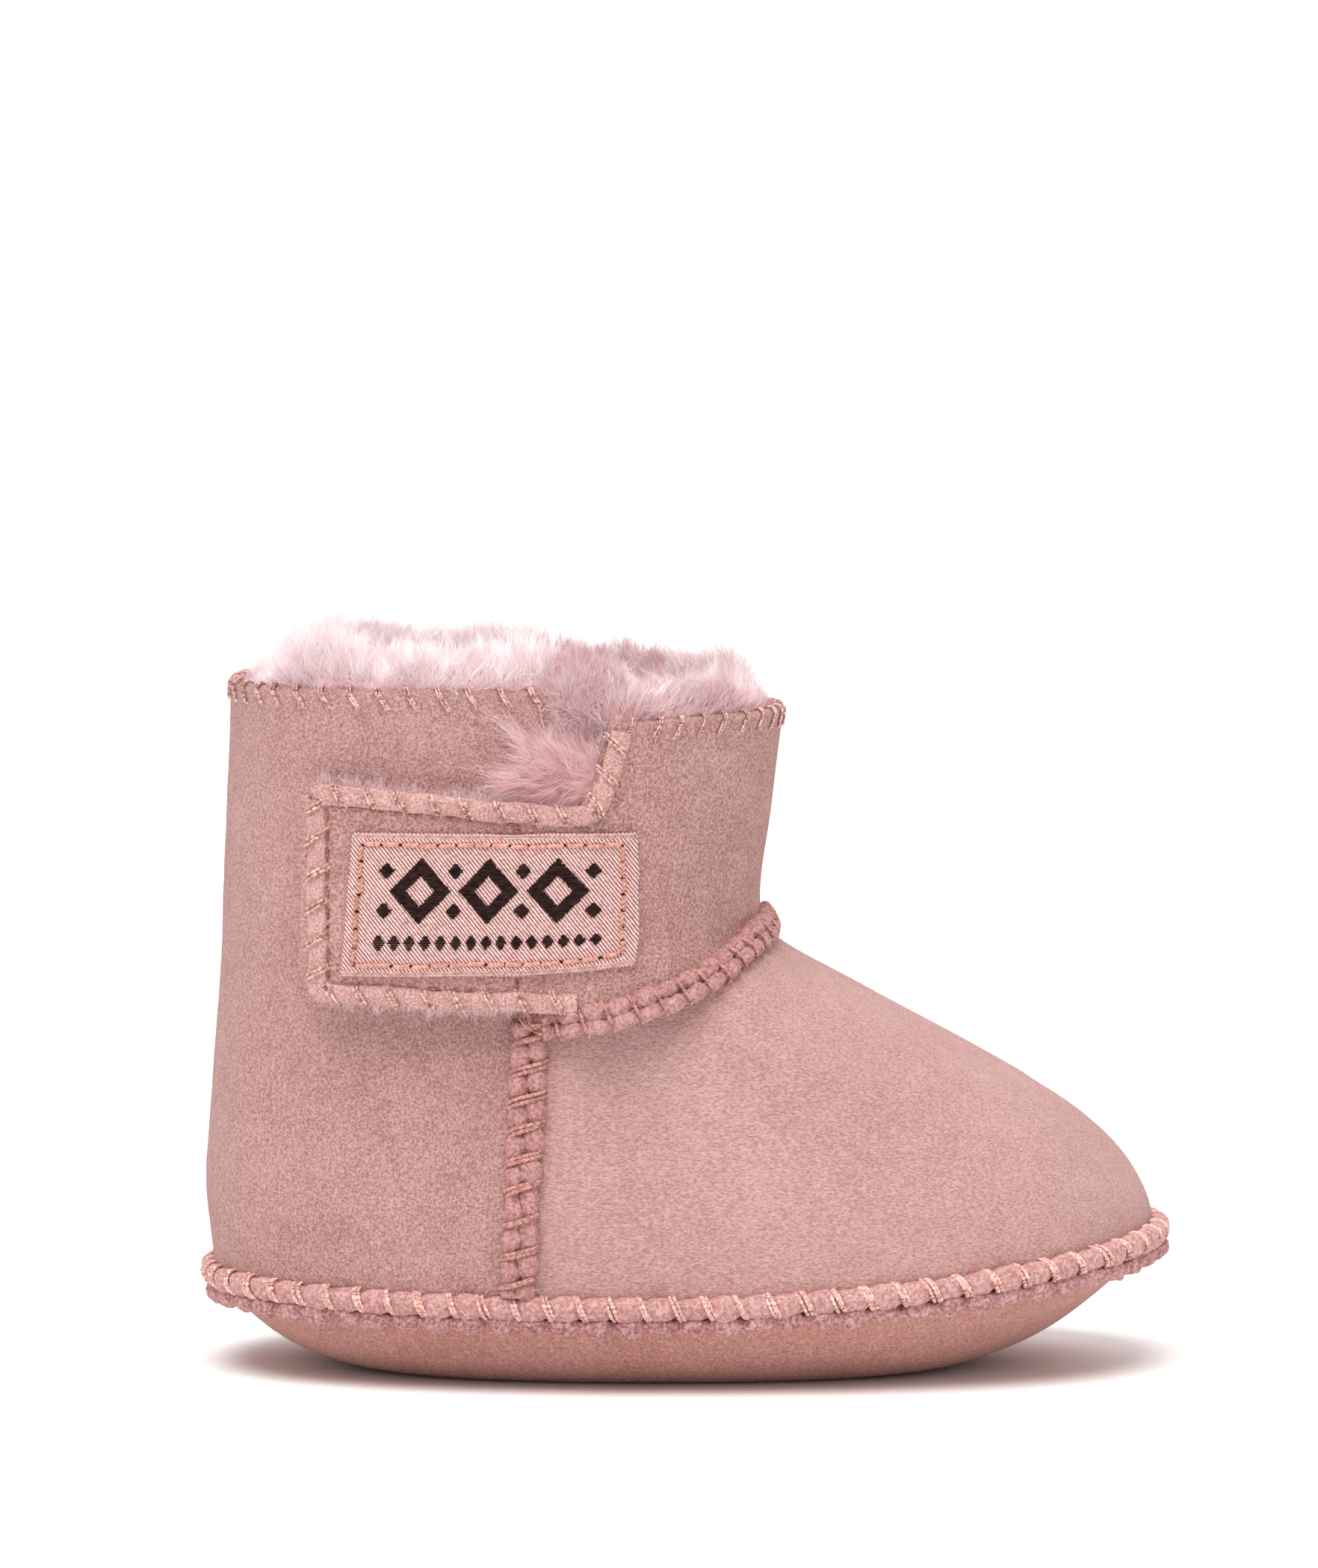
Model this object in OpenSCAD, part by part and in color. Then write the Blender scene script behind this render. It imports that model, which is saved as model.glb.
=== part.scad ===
/* [Size] */
// Length over the sole seam, heel to toe
length = 130; // [120:1:140]
// Width over the suede at the ball of the foot
width = 65; // [60:1:70]
// Height of the suede at the back of the cuff
height = 92; // [86:1:98]

/* [Skin] */
// Thickness of the suede
hide_t = 1.5; // [1:0.1:2]
// Thickness of the wool pile inside
pile_t = 5; // [3:0.5:6]
// Height of the wool collar above the top edges
collar_h = 5; // [2:0.5:7]
// Thickness of the sole's suede
sole_t = 1.9; // [1.5:0.1:2.5]

/* [Seams] */
// How far the turned-out seam edges stand proud
edge_out = 1.8; // [1:0.1:2.2]
// Height of one turned-out edge
edge_h = 2.3; // [1.6:0.1:2.6]
// Distance between whip stitches
whip_pitch = 4.2; // [3.5:0.1:6]
// Distance between the straight stitches of patches and label
run_pitch = 2.6; // [2:0.1:4]
// Thickness of the thread
thread_d = 0.6; // [0.4:0.05:0.8]

/* [Closure] */
// Length of the tab behind its fold line
tab_l = 34; // [28:1:36]
// Height of the tab at its fold line
tab_h = 26.2; // [24:0.2:27]
// Rise of the tab's free end over its fold line
tab_rise = 1.7; // [0:0.1:3]
// How much taller the tab is at its free end
tab_flare = 1.7; // [0:0.1:3]
// Thickness of the hook patch and of the loop patch
patch_t = 1; // [0.8:0.1:1.1]
// Gap between pieces that come apart
gap = 0.3; // [0.3:0.05:0.4]

/* [Label] */
// Length of the woven label
label_l = 36; // [30:0.5:38]
// Height of the woven label
label_h = 18.3; // [14:0.1:20]
// Thickness of the woven label
label_t = 0.4; // [0.3:0.05:0.5]

/* [Hidden] */
suede = [0.80, 0.62, 0.59];
raw_edge = [0.74, 0.52, 0.56];
wool = [0.95, 0.82, 0.86];
thread = [0.93, 0.76, 0.70];
satin = [0.93, 0.70, 0.66];
hook_and_loop = [0.90, 0.75, 0.78];

// The frame: toe along +X, the closure on the -Y side, +Z up, standing on z = 0.
kx = length / 130;
ky = width / 65;
kz = height / 92;
slack = 0.15;       // clearance between curved neighbours that touch

// Level sections of the upper on a 130 x 65 x 92 bootie:
// height, back of the heel, front, half width, place of the widest point
STATIONS = [
    [ 10, -62.2, 62.4, 31.6,   4.0],
    [ 17, -63.2, 63.0, 32.3,   4.0],
    [ 24, -64.0, 61.4, 32.4,   2.0],
    [ 31, -63.7, 56.2, 31.2,  -1.0],
    [ 38, -63.2, 46.6, 29.8,  -5.5],
    [ 44, -62.7, 36.0, 28.8, -10.0],
    [ 50, -62.2, 24.8, 28.2, -16.0],
    [ 56, -61.8, 13.9, 28.5, -21.0],
    [ 60, -61.6, 10.3, 28.7, -23.6],
    [ 75, -60.9, 11.7, 28.9, -24.6],
    [100, -60.1, 14.8, 29.4, -24.0]];
toe_power = 2.2;    // superellipse powers of the sections, ahead of and behind the widest point
heel_power = 2.5;

function lerp(a, b, t) = a + (b - a) * t;
function limit(t) = max(0, min(1, t));
function ease(t) = let (c = limit(t)) c * c * (3 - 2 * c);

// Smooth curve through the stations
function slope(i) =
    let (a = STATIONS[max(0, i - 1)], b = STATIONS[min(len(STATIONS) - 1, i + 1)])
    (b - a) / (b[0] - a[0]);
function interval(z, i = 0) =
    i < len(STATIONS) - 2 && z > STATIONS[i + 1][0] ? interval(z, i + 1) : i;
function station(z) =
    let (i = interval(z), a = STATIONS[i], b = STATIONS[i + 1], h = b[0] - a[0],
        t = limit((z - a[0]) / h), t2 = t * t, t3 = t2 * t)
    a * (2 * t3 - 3 * t2 + 1) + slope(i) * h * (t3 - 2 * t2 + t)
    + b * (3 * t2 - 2 * t3) + slope(i + 1) * h * (t3 - t2);

// Point of the suede's outer face: u is 0 at the toe, -90 on the closure side, 180 at the heel
function skin(u, z) =
    let (s = station(z / kz), c = cos(u), fore = c >= 0,
        reach = fore ? s[2] - s[4] : s[1] - s[4], power = 2 / (fore ? toe_power : heel_power))
    [kx * (s[4] + reach * pow(abs(c), power)), ky * s[3] * sign(sin(u)) * pow(abs(sin(u)), power), z];
function outward(u, z) =
    let (n = cross(skin(u + 1, z) - skin(u - 1, z), skin(u, z + 0.5) - skin(u, z - 0.5))) n / norm(n);
function at(u, z, off) = skin(u, z) + off * outward(u, z);

// Angle of the point with a given x at height z
function turn(x, z) =
    let (s = station(z / kz), d = x / kx - s[4], fore = d >= 0,
        r = limit(d / (fore ? s[2] - s[4] : s[1] - s[4])))
    fore ? acos(pow(r, toe_power / 2)) : 180 - acos(pow(r, heel_power / 2));
function side(x, z, off) = at(-turn(x, z), z, off);

// Height of the sole seam, lowest under the heel side of the arch and highest at the toe
seam_low = 10.4;
seam_low_x = -10;
toe_spring = 7;
heel_spring = 1.4;
function seam_rise(x) =
    let (d = x / kx - seam_low_x) d > 0 ? toe_spring * pow(d / 75, 2) : heel_spring * pow(d / 55, 2);
function seam_z(u) = kz * (seam_low + seam_rise(skin(u, kz * 14)[0]));

// Instep seam, from the sides up to the front of the ankle
instep_side = 48.2;
instep_rise = 10.6;

// Side seams: nearly upright lines, which run on as the free edge and as the far cuff seam
split_z = kz * instep_side;
function seam_x(z) = kx * lerp(-22.4, -20, limit(z / split_z));
function free_x(z) = z < split_z ? seam_x(z) : kx * lerp(-20, -14, (z - split_z) / (height - split_z));
function far_x(z) = z < split_z ? seam_x(z) : kx * lerp(-20, -18, (z - split_z) / (height - split_z));

// Top edges
back_top = height;
front_top = kz * 88.2;
far_rise = kz * 2.4;
function cuff_top(u) = front_top + far_rise * ease((u - 40) / 50);

// Closure: the tab and the side of the cuff stand off the back panel
fold_x = kx * -13.5;
stand_off = patch_t * 2 + gap + hide_t;
tab_low = kz * 50.4;
notch_x = kx * -10.2;
function cuff_off(u, z) =
    u > 0 ? 0 : stand_off * ease((6 - skin(u, z)[0] / kx) / 16) * ease((z / kz - 43.5) / 6.5);

// Places: functions of s along a panel and t up it, which give the angle and the height
// The vamp, from the near side seam over the toe to the far one
function vamp_edge(v) = kz * (instep_side + instep_rise * pow(max(0, cos(90 * v)), 1.2));
vamp_place = function(s, t)
    let (v = 2 * s - 1, guess = v * 100, z = lerp(seam_z(guess) + slack, vamp_edge(v) - slack, t))
    [v * turn(seam_x(z), z), z];

// The back panel, from the far side seam round the heel to the free edge
back_place = function(s, t)
    let (guess = lerp(100, 260, s), z = lerp(seam_z(guess) + slack, back_top, t))
    [lerp(turn(far_x(z), z), 360 - turn(free_x(z), z), s), z];

// The front cuff, from its fold line and notch to the far side seam
fold_v = -turn(fold_x, split_z) / turn(seam_x(split_z), split_z);
function fold_edge(z) =
    let (rise = (z - tab_low - tab_h) / (front_top - tab_low - tab_h))
    rise < 0 ? fold_x + gap / 2 : lerp(fold_x + 1.5, notch_x, min(1, rise));
cuff_place = function(s, t)
    let (v = lerp(fold_v, 1, s), z = lerp(vamp_edge(v) + slack, cuff_top(v * 95), t),
        reach = turn(seam_x(z), z))
    [v * reach + pow(1 - s, 4) * (-turn(fold_edge(z), z) - fold_v * reach)
        + pow(s, 4) * (turn(far_x(z), z) - reach), z];

// The closure tab, and rectangles on the side of the shaft that follow its slope
tab_end = fold_x - kx * tab_l;
function tab_share(x) = limit((fold_x - x) / (kx * tab_l));
function tab_bottom(x) = tab_low + tab_rise * tab_share(x);
function tab_top(x) = tab_low + tab_h + (tab_rise + tab_flare) * tab_share(x);
function tab_place(x0, x1, low, high) = function(s, t)
    let (x = lerp(x0, x1, s), z = lerp(tab_bottom(x) + low, tab_top(x) - high, t)) [-turn(x, z), z];
function low_band(x0, x1, low, high) = function(s, t)
    let (x = lerp(x0, x1, s), z = tab_bottom(x) + lerp(low, high, t)) [-turn(x, z), z];
function top_band(x0, x1, low, high) = function(s, t)
    let (x = lerp(x0, x1, s), z = tab_top(x) - lerp(high, low, t)) [-turn(x, z), z];
function box_place(x0, x1, z0, z1) = function(s, t)
    let (x = lerp(x0, x1, s), z = lerp(z0, z1, t)) [-turn(x, z), z];

// Shell over a place, between two offsets from the skin: n cells along and m cells up
module shell(n, m, place, outer, inner) {
    count = (n + 1) * (m + 1);
    layers = [for (off = [outer, inner])
        for (i = [0 : n]) for (j = [0 : m]) let (p = place(i / n, j / m)) at(p[0], p[1], off(p[0], p[1]))];
    function id(i, j, k) = k * count + i * (m + 1) + j;
    function quad(a, b, c, d) = [[a, b, c], [a, c, d]];
    faces = concat(
        [for (i = [0 : n - 1], j = [0 : m - 1])
            each quad(id(i, j, 0), id(i, j + 1, 0), id(i + 1, j + 1, 0), id(i + 1, j, 0))],
        [for (i = [0 : n - 1], j = [0 : m - 1])
            each quad(id(i, j, 1), id(i + 1, j, 1), id(i + 1, j + 1, 1), id(i, j + 1, 1))],
        [for (i = [0 : n - 1])
            each quad(id(i, 0, 0), id(i + 1, 0, 0), id(i + 1, 0, 1), id(i, 0, 1))],
        [for (i = [0 : n - 1])
            each quad(id(i + 1, m, 0), id(i, m, 0), id(i, m, 1), id(i + 1, m, 1))],
        [for (j = [0 : m - 1])
            each quad(id(0, j + 1, 0), id(0, j, 0), id(0, j, 1), id(0, j + 1, 1))],
        [for (j = [0 : m - 1])
            each quad(id(n, j, 0), id(n, j + 1, 0), id(n, j + 1, 1), id(n, j, 1))]);
    polyhedron(layers, faces);
}
function flat(off) = function(u, z) off;
function raised(off) = function(u, z) cuff_off(u, z) + off;

// Closed stack of rings, from the middle of the underside out over the rim to the middle of the top
module stack(rings, low, high) {
    n = len(rings[0]);
    last = len(rings) - 1;
    function id(k, i) = k * n + i % n;
    faces = concat(
        [for (k = [0 : last - 1], i = [0 : n - 1]) each
            [[id(k, i), id(k + 1, i), id(k + 1, i + 1)], [id(k, i), id(k + 1, i + 1), id(k, i + 1)]]],
        [for (i = [0 : n - 1]) [id(0, i), id(0, i + 1), n * (last + 1)]],
        [for (i = [0 : n - 1]) [id(last, i + 1), id(last, i), n * (last + 1) + 1]]);
    polyhedron(concat([for (r = rings) each r], [low, high]), faces);
}

// Thread: a straight bar between two points
module bar(p, q) {
    d = q - p;
    translate(p) rotate([0, acos(d[2] / norm(d)), atan2(d[1], d[0])])
        cylinder(h = norm(d), d = thread_d, $fn = 24);
}

// Shares s of a path at even distances, near the wanted pitch
samples = 60;
function spaced(path, pitch) =
    let (points = [for (i = [0 : samples]) path(i / samples)],
        legs = [for (i = [1 : samples]) norm(points[i] - points[i - 1])],
        sums = [for (i = 0, sum = 0; i <= samples; sum = sum + (i < samples ? legs[i] : 0), i = i + 1) sum],
        table = [for (i = [0 : samples]) [sums[i], i / samples]],
        count = max(1, round(sums[samples] / pitch)))
    [for (k = [0 : count - 1]) lookup((k + 0.5) * sums[samples] / count, table)];

// Whip stitches from one edge of a seam to the other, leaning by a share of the pitch
module whips(from, to, lean = 0.25) {
    shares = spaced(from, whip_pitch);
    half = lean / len(shares);
    for (s = shares) bar(from(max(0, s - half)), to(min(1, s + half)));
}

// Running stitches along a path
module runs(path, fill = 0.6) {
    shares = spaced(path, run_pitch);
    half = fill / 2 / len(shares);
    for (s = shares) bar(path(s - half), path(s + half));
}

// Sole: a shallow boat whose outline is the seam, over a flat patch to stand on
flat_share = 0.48;
ring_n = 60;
sole_levels = [0.5, 0.6, 0.7, 0.8, 0.88, 0.95, 1];
toe_bilge = 2;      // how late the bottom turns up, at the toe and at the fuller heel
heel_bilge = 3.4;
function bilge(u) = lerp(heel_bilge, toe_bilge, (1 + cos(u)) / 2);
function boat_ring(s, rim, floor) = [for (i = [0 : ring_n - 1])
    let (u = 360 * i / ring_n, p = skin(u, seam_z(u)), t = max(0, (s - flat_share) / (1 - flat_share)))
    [p[0] * s * rim, p[1] * s * rim, floor + (p[2] - slack - floor) * pow(t, bilge(u))]];
function insole_ring(s, rim) = [for (i = [0 : ring_n - 1])
    let (u = 360 * i / ring_n, p = skin(u, seam_z(u)))
    [p[0] * s * rim, p[1] * s * rim, lerp(kz * seam_low, p[2], s * s) - slack]];
function backwards(list) = [for (i = [len(list) - 1 : -1 : 0]) list[i]];
sink = 0.3;         // how far the boat would reach below the ground before it is cut flat
inner_rim = 1 - 1.1 * sole_t / (ky * 32);

module sole() color(suede) difference() {
    stack(concat([for (s = sole_levels) boat_ring(s, 1, -sink)],
            [for (s = backwards(sole_levels)) boat_ring(s, inner_rim, sole_t)]),
        [0, 0, -sink], [0, 0, sole_t]);
    translate([-length, -width, -5]) cube([2 * length, 2 * width, 5]);
}

insole_levels = [0.5, 0.65, 0.8, 0.9, 0.96];
module insole_fleece() color(wool) {
    rim = inner_rim * 0.985;
    stack(concat([for (s = insole_levels) boat_ring(s, rim, sole_t + slack)],
            [for (s = backwards(insole_levels)) insole_ring(s, rim)]),
        [0, 0, sole_t + slack], [0, 0, kz * seam_low - slack]);
}

// The two turned-out edges of the sole seam, one above the other, each split at the side seams
function ring_place(near, far, low, high) = function(s, t)
    let (u = lerp(near, far, s)) [u, seam_z(u) + lerp(low, high, t)];
seam_turn = turn(seam_x(seam_low), seam_low);
cut = 0.4;          // angle left free at each side seam
module edge_pair(low, high) {
    shell(36, 1, ring_place(-seam_turn + cut, seam_turn - cut, low, high), flat(edge_out), flat(slack));
    shell(28, 1, ring_place(seam_turn + cut, 360 - seam_turn - cut, low, high), flat(edge_out), flat(slack));
}
module upper_seam_edge() color(suede) edge_pair(slack, edge_h);
module sole_seam_edge() color(raw_edge) edge_pair(-edge_h, -slack);
thread_out = edge_out + thread_d / 4;
function ring_path(rise) = function(s) let (u = 360 * s) at(u, seam_z(u) + rise, thread_out);
module sole_whip_stitches() color(thread) whips(ring_path(edge_h), ring_path(-edge_h));

// Panels: suede outside and wool inside, which stops just short of the suede's ends
pile_in = -hide_t - pile_t;
back_pile_ends = [0.004, 0.985];
cuff_pile_ends = [0.012, 0.992];
module vamp() color(suede) shell(30, 9, vamp_place, flat(0), flat(-hide_t));
module vamp_fleece() color(wool) shell(30, 9, vamp_place, flat(-hide_t - slack), flat(pile_in));
module back_panel() color(suede) shell(32, 9, back_place, flat(0), flat(-hide_t));
back_collar = 1 + collar_h / (back_top - split_z);
front_collar = 1 + collar_h / (front_top - split_z);
module back_fleece() color(wool)
    shell(32, 9, function(s, t) back_place(lerp(back_pile_ends[0], back_pile_ends[1], s), t * back_collar),
        flat(-hide_t - slack), flat(pile_in));
module front_cuff() color(suede) shell(26, 9, cuff_place, raised(0), raised(-hide_t));
module front_cuff_fleece() color(wool)
    shell(26, 9, function(s, t) cuff_place(lerp(cuff_pile_ends[0], cuff_pile_ends[1], s), t * front_collar),
        raised(-hide_t - slack), flat(pile_in));

// Side seams: two raised edges side by side, with whip stitches across them
seam_w = 4.4;
function upright_place(x0, x1, low, high, sign) = function(s, t)
    let (z = lerp(low, high, t), x = far_x(z) + lerp(x0, x1, s)) [sign * turn(x, z), z];
module upright(low, high, near) {
    for (half = [-1, 1])
        let (a = half < 0 ? -seam_w / 2 : slack, b = half < 0 ? -slack : seam_w / 2)
            shell(1, 8, near ? upright_place(a, b, low, high, -1) : upright_place(b, a, low, high, 1),
                flat(edge_out), flat(2 * slack));
}
upright_low = kz * (seam_low + 0.6) + edge_h;
function upright_path(low, high, x, sign) = function(s)
    let (z = lerp(low, high, s)) at(sign * turn(far_x(z) + x, z), z, thread_out);
module upright_whips(low, high, sign)
    whips(upright_path(low, high, -seam_w / 2, sign), upright_path(low, high, seam_w / 2, sign), 0.3);
near_top = split_z - 2.4;
far_top = kz * 88;
module side_seam_lateral() color(suede) upright(upright_low, near_top, true);
module side_seam_medial() color(suede) upright(upright_low, far_top, false);
module side_stitches_lateral() color(thread) upright_whips(upright_low + 1, near_top - 0.5, -1);
module side_stitches_medial() color(thread) upright_whips(upright_low + 1, far_top - 0.5, 1);

// Instep seam: two raised edges, one above the other, over a hollow corner of the skin
instep_h = 1.9;
instep_slit = 0.1;  // half of the slit between the two edges
instep_ends = [0.035, 0.97];
instep_lift = 0.2;
function instep_place(low, high) = function(s, t)
    let (p = cuff_place(lerp(instep_ends[0], instep_ends[1], s), 0)) [p[0], p[1] + lerp(low, high, t)];
module instep_seam() color(suede) for (z = [instep_slit, -instep_h])
    shell(30, 2, instep_place(z, z + instep_h - instep_slit),
        raised(edge_out + instep_lift), raised(4 * slack));
function instep_path(rise) = function(s)
    let (p = instep_place(rise, rise)(s, 0))
    at(p[0], p[1], cuff_off(p[0], p[1]) + thread_out + instep_lift);
module instep_stitches() color(thread) whips(instep_path(instep_h), instep_path(-instep_h));

// Edge stitches: short bars over the cut edges
bite = 2.6;         // how deep the edge stitches reach
edge_drop = 0.2;    // how far below the edge they start
front_edge_end = 0.93;
function back_edge_path(drop) = function(s) let (p = back_place(s, 1)) at(p[0], p[1] - drop, thread_d / 4);
module back_edge_stitches() color(thread) whips(back_edge_path(edge_drop), back_edge_path(bite), 0.3);
function front_edge_path(drop) = function(s)
    let (p = cuff_place(s * front_edge_end, 1), z = p[1] - drop)
    at(p[0], z, cuff_off(p[0], z) + thread_d / 4);
module front_edge_stitches() color(thread) whips(front_edge_path(edge_drop), front_edge_path(bite), 0.3);

// Closure tab with what is sewn to it
tab_start = fold_x - gap / 2;
module closure_tab() color(suede)
    shell(12, 5, tab_place(tab_end, tab_start, 0, 0), flat(stand_off), flat(stand_off - hide_t));

tab_face = patch_t + gap;
patch_margin = 2.4;
patch_l = 24.5;
patch_x = tab_end + patch_margin;
module tab_pile(place, n, m) shell(n, m, place, flat(stand_off - hide_t - slack), flat(tab_face));
module tab_fleece() color(wool) {
    rim = 0.3;
    band = patch_margin - 0.2;
    front = patch_x + patch_l + 0.2;
    tab_pile(tab_place(tab_end + rim, tab_end + band, rim, rim), 1, 5);
    tab_pile(tab_place(front, fold_x - 1, rim, rim), 2, 5);
    tab_pile(low_band(patch_x, front - 0.2, rim, band), 8, 1);
    tab_pile(top_band(patch_x, front - 0.2, rim, band), 8, 1);
}

module hook_patch() color(hook_and_loop)
    shell(8, 5, tab_place(patch_x, patch_x + patch_l, patch_margin, patch_margin),
        flat(stand_off - hide_t - slack), flat(tab_face));
module loop_patch() color(hook_and_loop)
    shell(8, 5, box_place(tab_end + 1, tab_end + 27, tab_low + 2, tab_low + tab_h + 1),
        flat(patch_t), flat(slack));

// Straight lines of stitches on the side of the shaft
function line_path(x0, z0, x1, z1, off) = function(s) side(lerp(x0, x1, s), lerp(z0, z1, s), off);
module box_runs(x0, x1, z0, z1, off) {
    for (z = [z0, z1]) runs(line_path(x0, z, x1, z, off));
    for (x = [x0, x1]) runs(line_path(x, z0, x, z1, off));
}

// The hook patch's stitching follows the tab's edges, and its front line passes under the label
box_inset = 2.9;
module hook_patch_stitches() color(thread) {
    off = stand_off + thread_d / 4;
    x0 = patch_x + 1;
    x1 = patch_x + patch_l - 1;
    runs(line_path(x0, tab_bottom(x0) + box_inset, x1, tab_bottom(x1) + box_inset, off));
    runs(line_path(x0, tab_top(x0) - box_inset, x1, tab_top(x1) - box_inset, off));
    runs(line_path(x0, tab_bottom(x0) + box_inset, x0, tab_top(x0) - box_inset, off));
}
module loop_patch_stitches() color(thread)
    box_runs(tab_end + 2.2, tab_end + 25.8, tab_low + 3.2, tab_low + tab_h - 0.2, patch_t - thread_d / 4);

function tab_edge(s, inset) =
    let (along = kx * tab_l - 1.5, d = s * (2 * along + tab_h), x = fold_x - 1.5)
    d < along ? [x - d, tab_bottom(x - d) + inset]
    : d < along + tab_h ? [tab_end + inset, lerp(tab_bottom(tab_end) + inset,
        tab_top(tab_end) - inset, (d - along) / tab_h)]
    : let (q = tab_end + d - along - tab_h) [q, tab_top(q) - inset];
function tab_edge_path(inset) = function(s)
    let (p = tab_edge(s, inset)) side(p[0], p[1], stand_off + thread_d / 4);
module tab_edge_stitches() color(thread) whips(tab_edge_path(0.3), tab_edge_path(bite - 0.6), 0.2);

// Woven label, which runs from the tab over the fold line onto the cuff
label_x = tab_end + kx * 4;
label_z = kz * 55.5;
label_end = label_x + label_l;
module label_part(x0, x1, n) {
    shell(n, 2, box_place(x0, x1, label_z, label_z + label_h),
        flat(stand_off + label_t + slack), flat(stand_off + slack));
}
module woven_label() color(satin) label_part(label_x, tab_start, 10);
module woven_label_end() color(satin) label_part(fold_x + gap / 2, label_end, 3);

label_margin = 1.4;
label_thread = stand_off + slack + label_t + thread_d / 4;
label_rows = [label_z + label_margin, label_z + label_h - label_margin];
module label_stitches() color(thread) {
    x0 = label_x + label_margin;
    for (z = label_rows) runs(line_path(x0, z, tab_start - 0.4, z, label_thread));
    runs(line_path(x0, label_rows[0], x0, label_rows[1], label_thread));
}
module label_end_stitches() color(thread) {
    x1 = label_end - label_margin;
    for (z = label_rows) runs(line_path(fold_x + gap / 2 + 0.4, z, x1, z, label_thread));
    runs(line_path(x1, label_rows[0], x1, label_rows[1], label_thread));
}

sole();
insole_fleece();
sole_seam_edge();
upper_seam_edge();
sole_whip_stitches();
vamp();
vamp_fleece();
back_panel();
back_fleece();
front_cuff();
front_cuff_fleece();
side_seam_lateral();
side_seam_medial();
side_stitches_lateral();
side_stitches_medial();
instep_seam();
instep_stitches();
back_edge_stitches();
front_edge_stitches();
closure_tab();
tab_fleece();
tab_edge_stitches();
hook_patch();
hook_patch_stitches();
loop_patch();
loop_patch_stitches();
woven_label();
woven_label_end();
label_stitches();
label_end_stitches();
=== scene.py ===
import math

import bpy
import numpy as np
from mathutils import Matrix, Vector
from mathutils.kdtree import KDTree


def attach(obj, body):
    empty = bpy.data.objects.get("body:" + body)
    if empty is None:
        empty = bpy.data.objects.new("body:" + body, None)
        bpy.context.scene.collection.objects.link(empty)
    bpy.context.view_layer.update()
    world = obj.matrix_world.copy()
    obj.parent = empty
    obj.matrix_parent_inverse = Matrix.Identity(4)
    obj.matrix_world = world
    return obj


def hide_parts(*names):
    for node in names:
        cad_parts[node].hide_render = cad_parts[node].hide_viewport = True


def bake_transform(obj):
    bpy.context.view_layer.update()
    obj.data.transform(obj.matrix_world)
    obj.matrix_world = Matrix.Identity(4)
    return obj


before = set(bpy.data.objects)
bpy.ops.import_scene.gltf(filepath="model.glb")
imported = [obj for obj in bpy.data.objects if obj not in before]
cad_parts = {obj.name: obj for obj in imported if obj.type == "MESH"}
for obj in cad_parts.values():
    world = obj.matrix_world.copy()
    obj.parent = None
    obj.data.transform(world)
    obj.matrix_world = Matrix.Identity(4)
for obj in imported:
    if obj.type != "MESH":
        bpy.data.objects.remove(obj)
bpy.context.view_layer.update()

MM = 0.001
rng = np.random.default_rng(7)

# ---------------------------------------------------------------- the bootie's shape, in mm, as in the CAD

# Height, back of the heel, front, half width and place of the widest point of each level section
STATIONS = np.array([
    [10, -62.2, 62.4, 31.6, 4.0],
    [17, -63.2, 63.0, 32.3, 4.0],
    [24, -64.0, 61.4, 32.4, 2.0],
    [31, -63.7, 56.2, 31.2, -1.0],
    [38, -63.2, 46.6, 29.8, -5.5],
    [44, -62.7, 36.0, 28.8, -10.0],
    [50, -62.2, 24.8, 28.2, -16.0],
    [56, -61.8, 13.9, 28.5, -21.0],
    [60, -61.6, 10.3, 28.7, -23.6],
    [75, -60.9, 11.7, 28.9, -24.6],
    [100, -60.1, 14.8, 29.4, -24.0]])
LEVELS = STATIONS[:, 0]
TOE_POWER, HEEL_POWER = 2.2, 2.5
HIDE, SOLE_T = 1.5, 1.9
BACK_TOP, FRONT_TOP, FAR_RISE = 92.0, 88.2, 2.4
INSTEP_SIDE, INSTEP_RISE = 48.2, 10.6
FOLD_X, NOTCH_X, TAB_L, TAB_LOW, TAB_H = -13.5, -10.2, 34.0, 50.4, 26.2
TAB_RISE, TAB_FLARE = 1.7, 1.7
STAND_OFF = 3.8
TAB_END = FOLD_X - TAB_L
LABEL_X, LABEL_Z, LABEL_L, LABEL_H = TAB_END + 4, 55.5, 36.0, 18.3
WHIP_PITCH = 4.2
SEAM_GAP = 0.15     # between a panel's edge and its seam
SKIN_ROUND = 0.7    # rounding of a suede edge
WOOL_GAP = 0.2      # between the suede and its wool
FIBRE_ROOT = 0.4    # how deep fibres are rooted
STITCH_HALF = 0.3   # half of the width that a stitch presses flat
AXIS_POINT = np.array([-24.0, 0, 0])  # middle of the shaft
SOLE_N = 360


def lerp(a, b, t):
    return a + (b - a) * t


def ease(t):
    t = np.clip(t, 0, 1)
    return t * t * (3 - 2 * t)


def slopes():
    """Rate of change of the stations at each of them."""
    rows = []
    for i in range(len(STATIONS)):
        a, b = STATIONS[max(0, i - 1)], STATIONS[min(len(STATIONS) - 1, i + 1)]
        rows.append((b - a) / (b[0] - a[0]))
    return np.array(rows)


SLOPES = slopes()


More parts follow.
